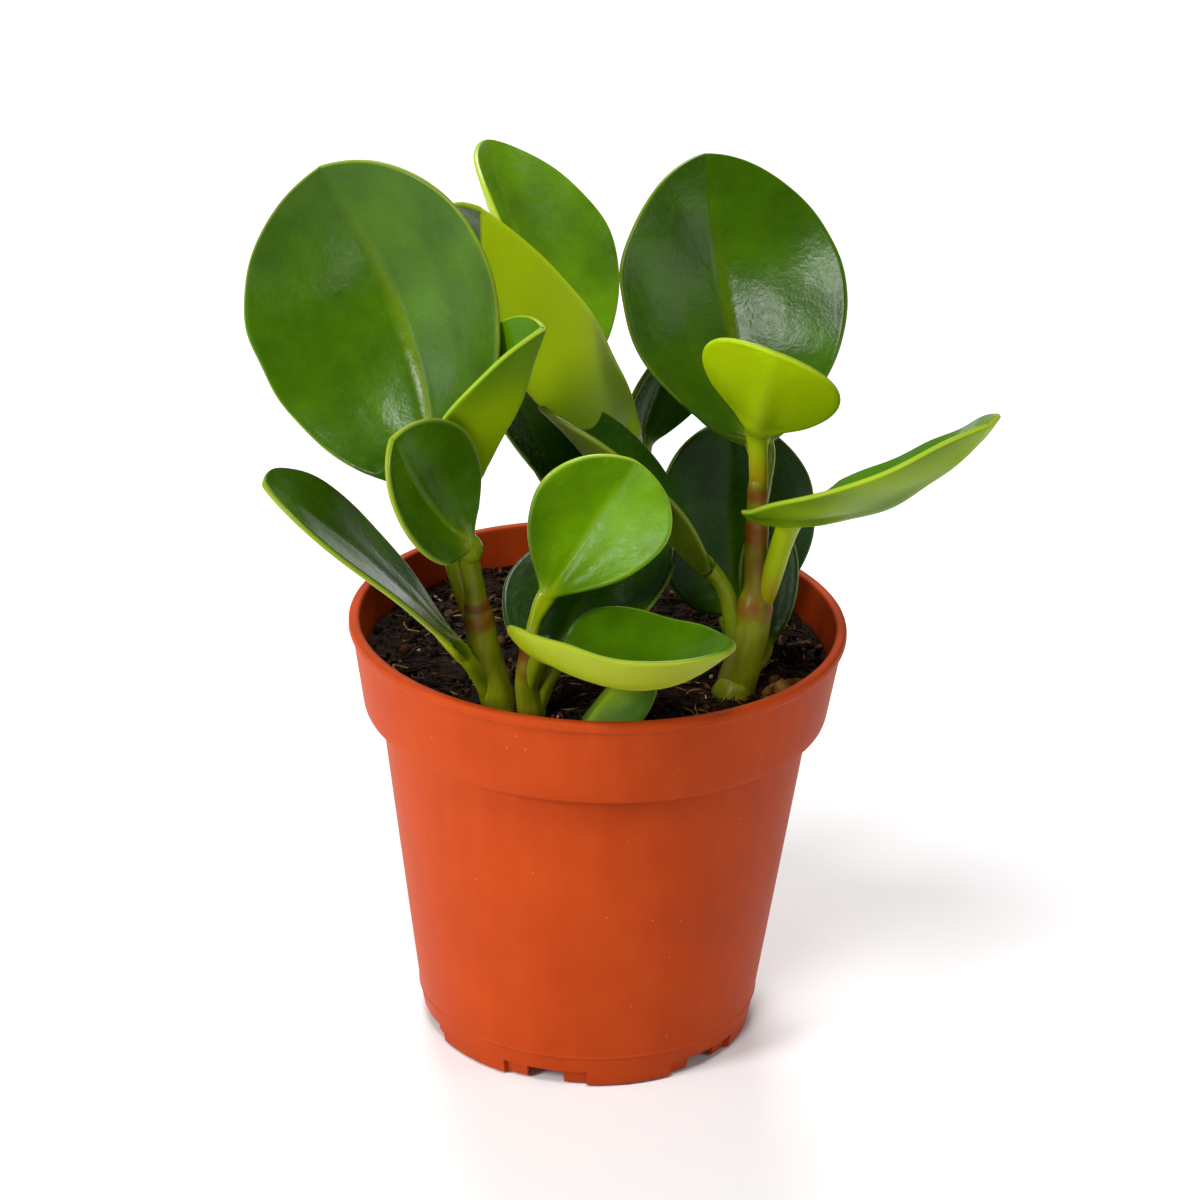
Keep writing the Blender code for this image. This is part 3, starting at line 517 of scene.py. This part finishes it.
# Each shoot is a tube along its axis, closed by a dome. It swells by up to a tenth at its nodes,
# where its skin turns brown, and shallow lumps and seven faint ridges run along it.
stem_skin = fleshy_stem()
stem_turn = np.linspace(0, 2 * np.pi, 40, endpoint=False)
for name, (line, nodes) in shoots.items():
    path = smooth_path(line, 150)
    radius, path = path[:, 3], path[:, :3]
    way = np.gradient(path, axis=0)
    way /= np.linalg.norm(way, axis=1)[:, None]
    dome = np.radians([20, 40, 60, 80])
    path = np.concatenate([path, path[-1] + np.outer(np.sin(dome) * radius[-1], way[-1])])
    way = np.concatenate([way, np.repeat(way[-1:], 4, axis=0)])
    radius = np.concatenate([radius, np.cos(dome) * radius[-1]])
    gaps = [(path[:, 2] - at, spread, strength) for at, spread, strength in nodes]
    swell = sum(strength * np.exp(-(gap / (0.5 * spread + 0.5)) ** 2) for gap, spread, strength in gaps)
    brown = sum(strength * np.exp(-(gap / spread) ** 2) for gap, spread, strength in gaps)
    side = np.cross(way, (0.0, 1.0, 0.0))
    side /= np.linalg.norm(side, axis=1)[:, None]
    back = np.cross(way, side)
    lumpy = 1 + 0.025 * waves(stem_turn[None] * 3, path[:, 2:3], 7, len(name)) \
        + 0.012 * np.cos(7 * stem_turn + path[:, 2:3] * 0.05)
    ring_radius = (radius * (1 + 0.10 * swell))[:, None] * lumpy
    rows = path[:, None] + ring_radius[..., None] * (np.cos(stem_turn)[:, None] * side[:, None]
                                                     + np.sin(stem_turn)[:, None] * back[:, None])
    stem = skin(name + "_shoot", rows, stem_skin, fields={"brown": np.clip(brown, 0, 1)[:, None]})
    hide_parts(name)
    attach(stem, "root")

# A swollen knob at the foot of the right shoot, where an old leaf has dropped.
knob_rise = np.radians(np.linspace(-84, 84, 19))[:, None]
knob_out = 4.1 * np.cos(knob_rise) * (1 + 0.06 * waves(stem_turn[None] * 2, knob_rise * 3, 3, 41))
knob_rows = np.stack([28.0 + knob_out * np.sin(stem_turn), -18.0 - knob_out * np.cos(stem_turn),
                      np.broadcast_to(84.4 + 4.0 * np.sin(knob_rise), knob_out.shape)], axis=-1)
knob = skin("stem_right_knob", knob_rows, stem_skin, fields={"brown": 0.1})
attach(knob, "root")

# Dried papery scales beside it: thin tan flakes that lie on the soil and against the shoot.
rng = np.random.default_rng(51)
scale_centres = np.array([(36.0, -18.5, 85.6), (38.6, -16.8, 85.3),
                          (35.2, -20.5, 85.0), (41.0, -14.5, 85.2)])
scale_frames = random_turns(rng, 4) * (1, 0.7, 0.07)
scale_sizes = rng.uniform(2.6, 3.4, (4, 1)) * rng.uniform(0.5, 1.4, (4, len(lump)))
scales = many("dried_scales", lump, lump_faces, scale_centres, scale_frames, scale_sizes,
              fibre("dried scale leaf", "#5a3a12", "#8f6a2c"))
scales.data.shade_flat()
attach(scales, "root")

# ---------------------------------------------------------------------------
# Leaves. Thick, waxy, slightly cupped oval blades on round fleshy stalks, dark
# to bright green above and paler yellow-green below, with a thin pale margin.
# Each grew as one piece from a node of its stem, so its stalk starts inside it.
# ---------------------------------------------------------------------------


def waxy_leaf(name, deep, fresh, below, rim, petiole, gloss=0.22, wax=0.2):
    """Leaf skin: mottled green above, paler below, a pale midrib and margin, under a waxy cuticle.

    Above, the colour runs between deep and fresh with the mottling, and is painted fresher, as
    if lit, where the sun field of painted light and shade is over a half. Below, it runs from deep
    to below with that field, painted deep green where the blade is painted as in shade. rim is the
    margin and petiole the stalk. The mottling is 13 mm across, with a finer one of 1.5 mm in it.
    The wax gives a gloss that dimples 4 mm apart and pimples of 0.7 mm break up, duller below,
    and the flesh scatters a little light.
    """
    made, tree, shader, place = start_material(name)
    under = add_node(tree, "ShaderNodeAttribute", {"attribute_name": "under"}).outputs["Fac"]
    edge = add_node(tree, "ShaderNodeAttribute", {"attribute_name": "edge_mm"}).outputs["Fac"]
    rib = add_node(tree, "ShaderNodeAttribute", {"attribute_name": "rib"}).outputs["Fac"]
    stalk = add_node(tree, "ShaderNodeAttribute", {"attribute_name": "stalk"}).outputs["Fac"]
    # The field of painted light and shade: high where the blade is painted as lit, low where it is painted
    # as in shade.
    painted_light = add_node(tree, "ShaderNodeAttribute", {"attribute_name": "painted_light"}).outputs["Fac"]
    broad = add_node(tree, "ShaderNodeTexNoise", Vector=place, Scale=75.0, Detail=2.0)
    fine = add_node(tree, "ShaderNodeTexNoise", Vector=place, Scale=650.0, Detail=4.0, Roughness=0.65)
    mottle = add_node(tree, "ShaderNodeMath", {"operation": "MULTIPLY_ADD"},
                      i0=fine.outputs["Fac"], i1=0.18, i2=broad.outputs["Fac"])
    # Painted light on the upper side: the colour is painted fresher where that field is over a half.
    tone = add_node(tree, "ShaderNodeMath", {"operation": "MULTIPLY_ADD", "use_clamp": True},
                    i0=painted_light, i1=1.0, i2=-0.5)
    shade = add_node(tree, "ShaderNodeMapRange", Value=mottle.outputs["Value"], From_Min=0.25, From_Max=0.92)
    lit = add_node(tree, "ShaderNodeMath", {"operation": "ADD", "use_clamp": True},
                   i0=shade.outputs["Result"], i1=tone.outputs["Value"])
    upper = add_node(tree, "ShaderNodeMix", {"data_type": "RGBA"}, Factor=lit.outputs["Value"],
                     i6=linear(deep), i7=linear(fresh))
    veined = add_node(tree, "ShaderNodeMath", {"operation": "MULTIPLY", "use_clamp": True}, i0=rib, i1=0.42)
    ribbed = add_node(tree, "ShaderNodeMix", {"data_type": "RGBA"}, Factor=veined.outputs["Value"],
                      i6=upper.outputs["Result"], i7=linear(below))
    # Painted shade on the underside: deep green where that field is low, pale where it is high.
    open_sky = add_node(tree, "ShaderNodeMath", {"operation": "MULTIPLY", "use_clamp": True},
                        i0=painted_light, i1=1.9)
    pale = add_node(tree, "ShaderNodeMix", {"data_type": "RGBA"}, Factor=open_sky.outputs["Value"],
                    i6=linear(deep), i7=linear(below))
    keel = add_node(tree, "ShaderNodeMix", {"data_type": "RGBA"}, Factor=veined.outputs["Value"],
                    i6=pale.outputs["Result"], i7=linear(rim))
    sides = add_node(tree, "ShaderNodeMix", {"data_type": "RGBA"}, Factor=under,
                     i6=ribbed.outputs["Result"], i7=keel.outputs["Result"])
    margin = add_node(tree, "ShaderNodeMapRange", {"interpolation_type": "SMOOTHSTEP"}, Value=edge,
                      From_Min=0.45, From_Max=0.05, To_Min=0.0, To_Max=0.55)
    edged = add_node(tree, "ShaderNodeMix", {"data_type": "RGBA"}, Factor=margin.outputs["Result"],
                     i6=sides.outputs["Result"], i7=linear(rim))
    stalked = add_node(tree, "ShaderNodeMix", {"data_type": "RGBA"}, Factor=stalk,
                       i6=edged.outputs["Result"], i7=linear(petiole))
    brown = add_node(tree, "ShaderNodeAttribute", {"attribute_name": "brown"}).outputs["Fac"]
    colour = add_node(tree, "ShaderNodeMix", {"data_type": "RGBA"}, Factor=brown,
                      i6=stalked.outputs["Result"], i7=linear("#7a4208"))
    tree.links.new(colour.outputs["Result"], shader.inputs["Base Color"])
    rough = add_node(tree, "ShaderNodeMapRange", Value=fine.outputs["Fac"], From_Min=0.3, From_Max=0.7,
                     To_Min=gloss - 0.04, To_Max=gloss + 0.07)
    duller = add_node(tree, "ShaderNodeMath", {"operation": "MULTIPLY_ADD"},
                      i0=under, i1=0.22, i2=rough.outputs["Result"])
    tree.links.new(duller.outputs["Value"], shader.inputs["Roughness"])
    pimples = add_node(tree, "ShaderNodeTexNoise", Vector=place, Scale=1500.0, Detail=1.0)
    small = add_node(tree, "ShaderNodeBump", Strength=0.4, Distance=0.00008, Height=pimples.outputs["Fac"])
    dimples = add_node(tree, "ShaderNodeTexNoise", Vector=place, Scale=240.0, Detail=2.0)
    bump = add_node(tree, "ShaderNodeBump", Strength=0.28, Distance=0.0005, Height=dimples.outputs["Fac"],
                    Normal=small.outputs["Normal"])
    tree.links.new(bump.outputs["Normal"], shader.inputs["Normal"])
    shader.inputs["Specular IOR Level"].default_value = wax
    shader.inputs["Subsurface Weight"].default_value = 0.12
    shader.inputs["Subsurface Radius"].default_value = (0.7, 1.0, 0.15)
    shader.inputs["Subsurface Scale"].default_value = 0.0012
    return made


# Grown leaves, those in the shade of others, glossy young ones, and young ones seen from below.
mid_green = waxy_leaf("grown leaf green", deep="#203d00", fresh="#3f6400", below="#849008",
                      rim="#7c8e26", petiole="#6c7a0c", wax=0.13)
dark_green = waxy_leaf("shaded leaf green", deep="#122d01", fresh="#254903", below="#56660a",
                       rim="#6c7c28", petiole="#66740c", gloss=0.23, wax=0.15)
young_green = waxy_leaf("young leaf green", deep="#3a6000", fresh="#70a002", below="#98b004",
                        rim="#a3b534", petiole="#8c9e0a", wax=0.32)
tender_green = waxy_leaf("tender leaf green", deep="#346000", fresh="#4a7000", below="#98b004",
                         rim="#a3b534", petiole="#8c9e0a", wax=0.06)


def smoothstep(x):
    """Cubic step from 0 to 1 with flat ends."""
    x = np.clip(x, 0, 1)
    return x * x * (3 - 2 * x)


BLADE_HALF_THICKNESS = 0.62
# The two side veins run this part of the way from the midrib to the margin.
SIDE_VEIN_PLACE = 0.42


def grow_leaf(node, stem, joins_at, base, heading, rise, roll, length, width, bend, cup, fold, twist,
              wedge, tip, material, lobe=0.0, stalk=2.0, ease=0.4, climb=1.0, painted_light=(0.5, 0.5),
              border=0.22, bloom=0.0):
    """One leaf as a closed skin of rings along its stalk and blade.

    The blade starts at base and points along heading (0 is +Y, 90 is +X) and rise above level,
    rolled about that line. Half width: (u/p)^wedge * ((1-u)/(1-p))^tip of half the full width,
    where u runs along the blade from 0 to 1 and p is its widest place; lobe sweeps the margins
    back at the base. Across, the blade starts at the fold angle beside the midrib and turns by
    the cup angle up to the widest margin; along, it bends by the bend angle and twists by the
    twist angle. The stalk follows a cubic Bezier curve from the stem, at the height joins_at, to
    base, with the radius stalk; climb says how steeply it sets off and ease how straight it
    arrives. sun is the painted light and shade: how fresh the colour is painted at the blade's
    lowest and highest part, lower where it is painted as in shade. border is how much darker it
    is painted by the margin, and bloom how brown the stalk's foot is.
    """
    seed = sum(ord(c) for c in node)
    turn = np.linspace(0, -2 * np.pi, 72, endpoint=False)
    across, above = np.cos(turn), np.sin(turn)
    a, e, r = np.radians([heading, rise, roll])
    along = np.array([np.cos(e) * np.sin(a), np.cos(e) * np.cos(a), np.sin(e)])
    level = np.array([-np.sin(e) * np.sin(a), -np.sin(e) * np.cos(a), np.cos(e)])
    normal = np.cos(r) * level + np.sin(r) * np.cross(along, level)
    side = np.cross(along, normal)
    base = np.array(base, dtype=float)

    # Stalk: it starts inside the stem, leaves it gradually, and widens into the blade.
    axis = np.array(shoots[stem][0], dtype=float)
    joint = np.array([np.interp(joins_at, axis[:, 2], axis[:, k]) for k in range(3)])
    stem_radius = np.interp(joins_at, axis[:, 2], axis[:, 3])
    out = (base - joint) * (1, 1, 0)
    out = out / np.linalg.norm(out) * (joins_at < axis[-1, 2])
    sunk = float(joins_at < axis[-1, 2])
    depth_in_stem = 5.5 * sunk
    foot = joint + out * stem_radius * 0.1 - (0, 0, depth_in_stem)
    span = np.linalg.norm(base - foot)
    first = 0.32 * out + (0, 0, climb)
    first /= np.linalg.norm(first)
    handles = [foot, foot + first * span * 0.35, base - along * span * ease, base]
    s = np.linspace(0, 1, 40)[:-1, None]
    way = ((1 - s)**3 * handles[0] + 3 * s * (1 - s)**2 * handles[1] + 3 * s**2 * (1 - s) * handles[2]
           + s**3 * handles[3])
    aim = (3 * (1 - s)**2 * (handles[1] - handles[0]) + 6 * s * (1 - s) * (handles[2] - handles[1])
           + 3 * s**2 * (handles[3] - handles[2]))
    aim /= np.linalg.norm(aim, axis=1)[:, None]
    stalk_normal = np.cross(side, aim)
    stalk_normal /= np.linalg.norm(stalk_normal, axis=1)[:, None]
    stalk_side = np.cross(aim, stalk_normal)
    # It is narrower where it is still inside the stem, and channelled a little on its upper side.
    girth = stalk * (1 - 0.4 * sunk * np.exp(-(s * span / 5.0) ** 2))
    flare = 1 + 0.5 * smoothstep((s - 0.5) / 0.5)
    channel = 1 - 0.10 * np.exp(-((turn % (2 * np.pi) - 1.5 * np.pi) / 0.7) ** 2) \
        - 0.16 * np.exp(-((turn % (2 * np.pi) - 0.5 * np.pi) / 0.5) ** 2) * smoothstep(s * 2)
    sideways = girth * flare * (across[None] * channel)
    upwards = girth * (above[None] * channel)
    stalk_rows = (way[:, None] + sideways[..., None] * stalk_side[:, None]
                  + upwards[..., None] * stalk_normal[:, None])

    # Blade: rings crowd towards the base and the tip.
    u = ((1 - np.cos(np.linspace(0, np.pi * 0.995, 110))) / 2)[:, None]
    v = across[None]
    widest = wedge / (wedge + tip)
    half = width / 2 * (u / widest)**wedge * ((1 - u) / (1 - widest))**tip
    uneven = 1 + 0.009 * waves(u * length, np.sign(v) * 40.0, 16, seed) * smoothstep(u * 5)
    fade = np.clip(1 - u / 0.35, 0, 1)**2
    half_width = np.sqrt((half * uneven)**2 + (1.5 * stalk * fade)**2)
    place = length * u - lobe * np.abs(v)**1.5 * half * (1 - u)**1.5
    turned = np.radians(bend) * place / length
    curl = length / np.radians(bend)
    middle = (base + (curl * np.sin(turned))[..., None] * along
              - (curl * (1 - np.cos(turned)))[..., None] * normal)
    up = np.sin(turned)[..., None] * along + np.cos(turned)[..., None] * normal
    wind = (np.radians(twist) * place / length)[..., None]
    blade_normal = np.cos(wind) * up + np.sin(wind) * side
    blade_side = np.cos(wind) * side - np.sin(wind) * up
    rate = np.radians(cup) / (width / 2)
    slope = np.radians(fold) * np.clip(u / 0.1, 0, 1)
    from_rib = np.abs(v) * half_width
    lean = slope + rate * from_rib
    beside = np.sign(v) * (np.sin(lean) - np.sin(slope)) / rate
    lift = (np.cos(slope) - np.cos(lean)) / rate
    # The blade is never quite even: it undulates slowly by up to 0.3 mm.
    lift = lift + (smoothstep(u * 4) * 0.3 * waves(place, v * half_width, 26, seed + 1)
                   * np.clip(half_width / 12, 0, 1))
    # Thickness: a plate with a round margin, a thick midrib below, and veins pressed in above. At
    # its base the blade has the stalk's thickness.
    edge = (1 - np.abs(v)) * half_width
    plate = BLADE_HALF_THICKNESS * np.sqrt(1 - (1 - np.clip(edge / 0.75, 0, 1))**2)
    veins = (0.13 * np.exp(-((np.abs(v) - SIDE_VEIN_PLACE) * half_width / 0.7)**2)
             + 0.05 * np.exp(-((edge - 1.5) / 0.6)**2))
    groove = 0.42 * np.exp(-from_rib**2) * (1 - u)**0.6
    bone = (stalk - BLADE_HALF_THICKNESS) * np.exp(-(from_rib / (1.25 * stalk))**2) * (1 - u)**1.3
    pressed = (groove + veins * (1 - u)) * np.clip(edge / 1.5, 0, 1)
    half_depth = plate + np.where(above[None] > 0, -pressed, bone + veins * 0.4)
    part = smoothstep(u / 0.16)
    depth = ((1 - part) * stalk * np.abs(above[None]) + part * half_depth) * np.sign(above[None])
    depth[:, np.abs(above) < 1e-9] = 0.0
    beside = beside - depth * np.sin(lean) * np.sign(v)
    lift = lift + depth * np.cos(lean)
    blade_rows = middle + beside[..., None] * blade_side + lift[..., None] * blade_normal

    rows = np.concatenate([stalk_rows, blade_rows])
    shape = (len(stalk_rows), len(turn))
    below = np.broadcast_to(smoothstep((-above[None] * half_width / 0.8 + 0.5)), half_width.shape)
    vein_line = np.exp(-(from_rib / (0.15 + 0.75 * (1 - u)**2))**2) * (1 - u)**1.2 \
        + 0.12 * np.exp(-((np.abs(v) - SIDE_VEIN_PLACE) * half_width / 0.5)**2) * (1 - u)
    # Colouring, painted light and shade: painted fresher up the blade from its lowest to its highest
    # part, as light falls from above, with soft patches of random tone and painted darker by the margin.
    climbed = (blade_rows[..., 2] - blade_rows[..., 2].min()) / np.ptp(blade_rows[..., 2])
    colouring = (painted_light[0] + (painted_light[1] - painted_light[0]) * smoothstep((climbed - 0.1) / 0.7)
                 + 0.10 * waves(place, v * half_width, 30, seed + 2) - border * (1 - smoothstep(edge / 9)))
    beside_rib = (1 - smoothstep(u / 0.12)) * np.exp(-(from_rib / 3.0)**2)
    browned = np.broadcast_to(bloom * (1 - smoothstep((s * span - depth_in_stem) / 8)), shape)
    fields = {
        "under": np.concatenate([np.zeros(shape), below]),
        "edge_mm": np.concatenate([np.full(shape, 5.0), edge + 5 * (1 - smoothstep(u * 6))]),
        "rib": np.concatenate([np.zeros(shape), vein_line]),
        "stalk": np.concatenate([np.ones(shape), beside_rib]),
        "brown": np.concatenate([browned, np.zeros(half_width.shape)]),
        "painted_light": np.concatenate([np.full(shape, painted_light[0]), colouring]),
    }
    leaf = skin(node + "_blade", rows, material, fields=fields)
    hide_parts(node)
    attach(leaf, "root")
    return leaf


# Each leaf's sun pair paints its light and shade into its colour: lower numbers paint it darker, as in
# shade.
# On the left shoot: the largest leaf, a folded one before it, a small one in front and a low one.
grow_leaf("leaf_left_large", "stem_left", 107, (-33, -24.7, 134.2), -8, 43, -42, 69, 62,
          bend=-60, cup=18, fold=14, twist=8, wedge=0.70, tip=0.50, lobe=0.40,
          material=mid_green, bloom=0.5)
grow_leaf("leaf_left_folded", "stem_left", 114, (-26, -25.2, 134.7), 126, 56, 21, 41, 32,
          bend=-15, cup=33, fold=30, twist=12, wedge=0.50, tip=0.54, lobe=0.35,
          material=tender_green, painted_light=(0.3, 0.17), border=0.05)
grow_leaf("leaf_left_front", "stem_left", 118, (-26.5, -39.5, 125.6), -110, 46, -52, 34, 30,
          bend=-34, cup=34, fold=10, twist=-6, wedge=0.63, tip=0.50, lobe=0.12,
          material=mid_green, painted_light=(0.6, 0.6))
grow_leaf("leaf_left_low", "stem_left", 89, (-27, -32, 98), -116, 52, -10, 61, 33,
          bend=13, cup=8, fold=4, twist=-7, wedge=0.78, tip=0.57,
          material=mid_green, stalk=1.9, painted_light=(0.65, 0.6))

# On the short middle shoot: a round leaf, one on each side of it, and a small one at its foot.
grow_leaf("leaf_middle_round", "stem_middle", 100, (-10.5, -32, 111.5), 65, 58, 71, 34, 30,
          bend=-20, cup=12, fold=6, twist=7, wedge=0.89, tip=0.54,
          material=young_green, stalk=1.3, painted_light=(0.9, 0.6), bloom=0.3)
grow_leaf("leaf_middle_low", "stem_middle", 87, (-9, -30, 96.5), 21, 24, -2, 42, 36,
          bend=10, cup=11, fold=3, twist=-12, wedge=0.68, tip=0.44, lobe=0.47,
          material=dark_green, ease=0.15)
grow_leaf("leaf_front", "stem_middle", 94, (-8, -38, 101.5), 136, -11, -8, 49, 39,
          bend=-60, cup=68, fold=2, twist=7, wedge=0.45, tip=0.60, lobe=0.90,
          material=mid_green, painted_light=(0.8, 0.8))
grow_leaf("leaf_front_small", "stem_middle", 84, (-3, -40, 83.5), 50, 46, 176, 22, 17,
          bend=-13, cup=29, fold=16, twist=-3, wedge=0.58, tip=0.51, lobe=0.20,
          material=young_green, stalk=1.2, climb=-0.6, painted_light=(0.1, 0.3))

# On the right shoot: a large leaf and a young one at the top, one held out, three about its foot.
grow_leaf("leaf_right_large", "stem_right", 124, (32, -5.5, 135.5), -17, 31, -5, 64, 51,
          bend=-47, cup=9, fold=13, twist=8, wedge=0.65, tip=0.59,
          material=mid_green, painted_light=(0.4, 0.25))
grow_leaf("leaf_right_young", "stem_right", 129, (31.5, -10.5, 140.5), 178, 43, -23, 34, 30,
          bend=-10, cup=10, fold=6, twist=2, wedge=0.77, tip=0.56,
          material=tender_green, painted_light=(0.9, 0.75), bloom=0.7)
grow_leaf("leaf_right_outer", "stem_right", 104, (40, -17, 124.5), 135, 15, -2, 60, 46,
          bend=-41, cup=21, fold=8, twist=10, wedge=0.47, tip=0.57, lobe=0.55,
          material=tender_green, stalk=2.3, ease=0.12, painted_light=(0.14, 0.26),
          border=0.05, bloom=0.6)
grow_leaf("leaf_right_back", "stem_right", 88.7, (28.3, 10, 90.5), -25, 81, -3, 42, 37,
          bend=-3, cup=13, fold=7, twist=-6, wedge=0.52, tip=0.51, lobe=0.10,
          material=dark_green, ease=0.22)
grow_leaf("leaf_right_narrow", "stem_right", 88, (35, -8, 91.3), 0, 82, 10, 27, 13,
          bend=5, cup=12, fold=6, twist=0.5, wedge=0.65, tip=0.50, lobe=0.20,
          material=dark_green, stalk=1.2)
grow_leaf("leaf_centre_arching", "stem_right", 90, (22, -13.5, 111), -96, 43, 4, 50, 33,
          bend=-5, cup=42, fold=7, twist=-1, wedge=0.66, tip=0.56, lobe=0.25,
          material=dark_green, stalk=2.1, painted_light=(0.8, 0.8))

# On the back shoot: a big folded leaf that leans over the middle, and three behind it.
grow_leaf("leaf_centre_folded", "stem_back", 116, (5.7, 17.1, 129.2), -147, 70, 148, 71, 56,
          bend=-36, cup=38, fold=22, twist=-9, wedge=0.62, tip=0.42, lobe=0.1,
          material=tender_green, painted_light=(0.2, 0.85), border=0.0)
grow_leaf("leaf_top_back", "stem_back", 114, (-4.5, 28.7, 137.1), -46, 37, 16, 55, 47,
          bend=-28, cup=35, fold=10, twist=3, wedge=0.66, tip=0.60,
          material=young_green, painted_light=(0.5, 0.5), border=0.0)
grow_leaf("leaf_back_left", "stem_back", 112, (-9, 0.5, 121.5), -23, 19, 20, 34, 26,
          bend=-7, cup=18, fold=14, twist=-2, wedge=0.67, tip=0.50, lobe=0.15,
          material=dark_green, stalk=1.6, ease=0.1, painted_light=(1.0, 1.0))
grow_leaf("leaf_back_right", "stem_back", 108, (8, 29.1, 120.2), 42, 79, 80, 30, 24,
          bend=-40, cup=24, fold=13, twist=3, wedge=0.70, tip=0.50,
          material=dark_green, painted_light=(1.0, 1.0))

# ---------------------------------------------------------------------------
# Studio. A seamless pale table, a strong soft light high in front on the left,
# another above and behind, small ones above and low in front, weak ones from
# both sides, and an even white surround.
# ---------------------------------------------------------------------------
# The table lies 0.4 mm under the foot, so that no two faces are in one plane.
table_z = -0.0004
table = bpy.data.meshes.new("table")
table_corners = [(-4, -3, table_z), (4, -3, table_z), (4, 6, table_z), (-4, 6, table_z)]
table.from_pydata(table_corners, [], [(0, 1, 2, 3)])
table_top = bpy.data.objects.new("table", table)
bpy.context.scene.collection.objects.link(table_top)
paper, tree, shader, place = start_material("white studio paper")
shader.inputs["Base Color"].default_value = (0.84, 0.84, 0.84, 1.0)
shader.inputs["Roughness"].default_value = 0.9
shader.inputs["Specular IOR Level"].default_value = 0.1
table.materials.append(paper)

world = bpy.data.worlds.new("white surround")
world.use_nodes = True
world.node_tree.nodes["Background"].inputs["Color"].default_value = (1.0, 1.0, 1.0, 1.0)
world.node_tree.nodes["Background"].inputs["Strength"].default_value = 0.14
bpy.context.scene.world = world


def softbox(name, place, target, size, power):
    """A square area light at place, turned towards target, in metres and watts."""
    lamp = bpy.data.lights.new(name, "AREA")
    lamp.size = size
    lamp.energy = power
    box = bpy.data.objects.new(name, lamp)
    box.location = place
    box.rotation_euler = (Vector(target) - Vector(place)).to_track_quat("-Z", "Y").to_euler()
    bpy.context.scene.collection.objects.link(box)
    return box


softbox("key_light", (-0.85, -0.65, 0.6), (0, 0, 0.1), 0.32, 12)
softbox("left_light", (-0.75, -0.1, 0.16), (0, 0, 0.15), 0.3, 1.2)
softbox("fill_light", (0.95, -0.35, 0.6), (0, 0, 0.12), 0.5, 2.5)
softbox("top_light", (-0.08, -0.62, 1.1), (0, 0, 0.1), 0.26, 7)
softbox("front_light", (-0.1, -0.75, 0.1), (0, 0, 0.12), 0.1, 0.38)
softbox("back_light", (-0.1, 0.75, 1.0), (0.05, 0.1, 0.1), 0.6, 13)

# Camera: a long lens in front of the pot, 24 degrees above the table and tipped 1.5 degrees
# sideways. Its turn is given by its directions to the right, upwards and backwards.
lens = bpy.data.cameras.new("camera")
lens.lens = 128.37
lens.sensor_width = 36
lens.clip_end = 20
camera = bpy.data.objects.new("camera", lens)
right = Vector((0.9995728, 0.01150864, 0.02686577))
over = Vector((-0.02922438, 0.40590436, 0.91344819))
back = Vector((-0.000392, -0.913843, 0.406067))
turned = Matrix((right, over, back)).transposed().to_4x4()
camera.matrix_world = Matrix.Translation((axis_x / 1000, axis_y / 1000 - 0.819917, 0.461128)) @ turned
bpy.context.scene.collection.objects.link(camera)
bpy.context.scene.camera = camera
bpy.context.scene.view_settings.view_transform = "Standard"

bpy.context.view_layer.update()
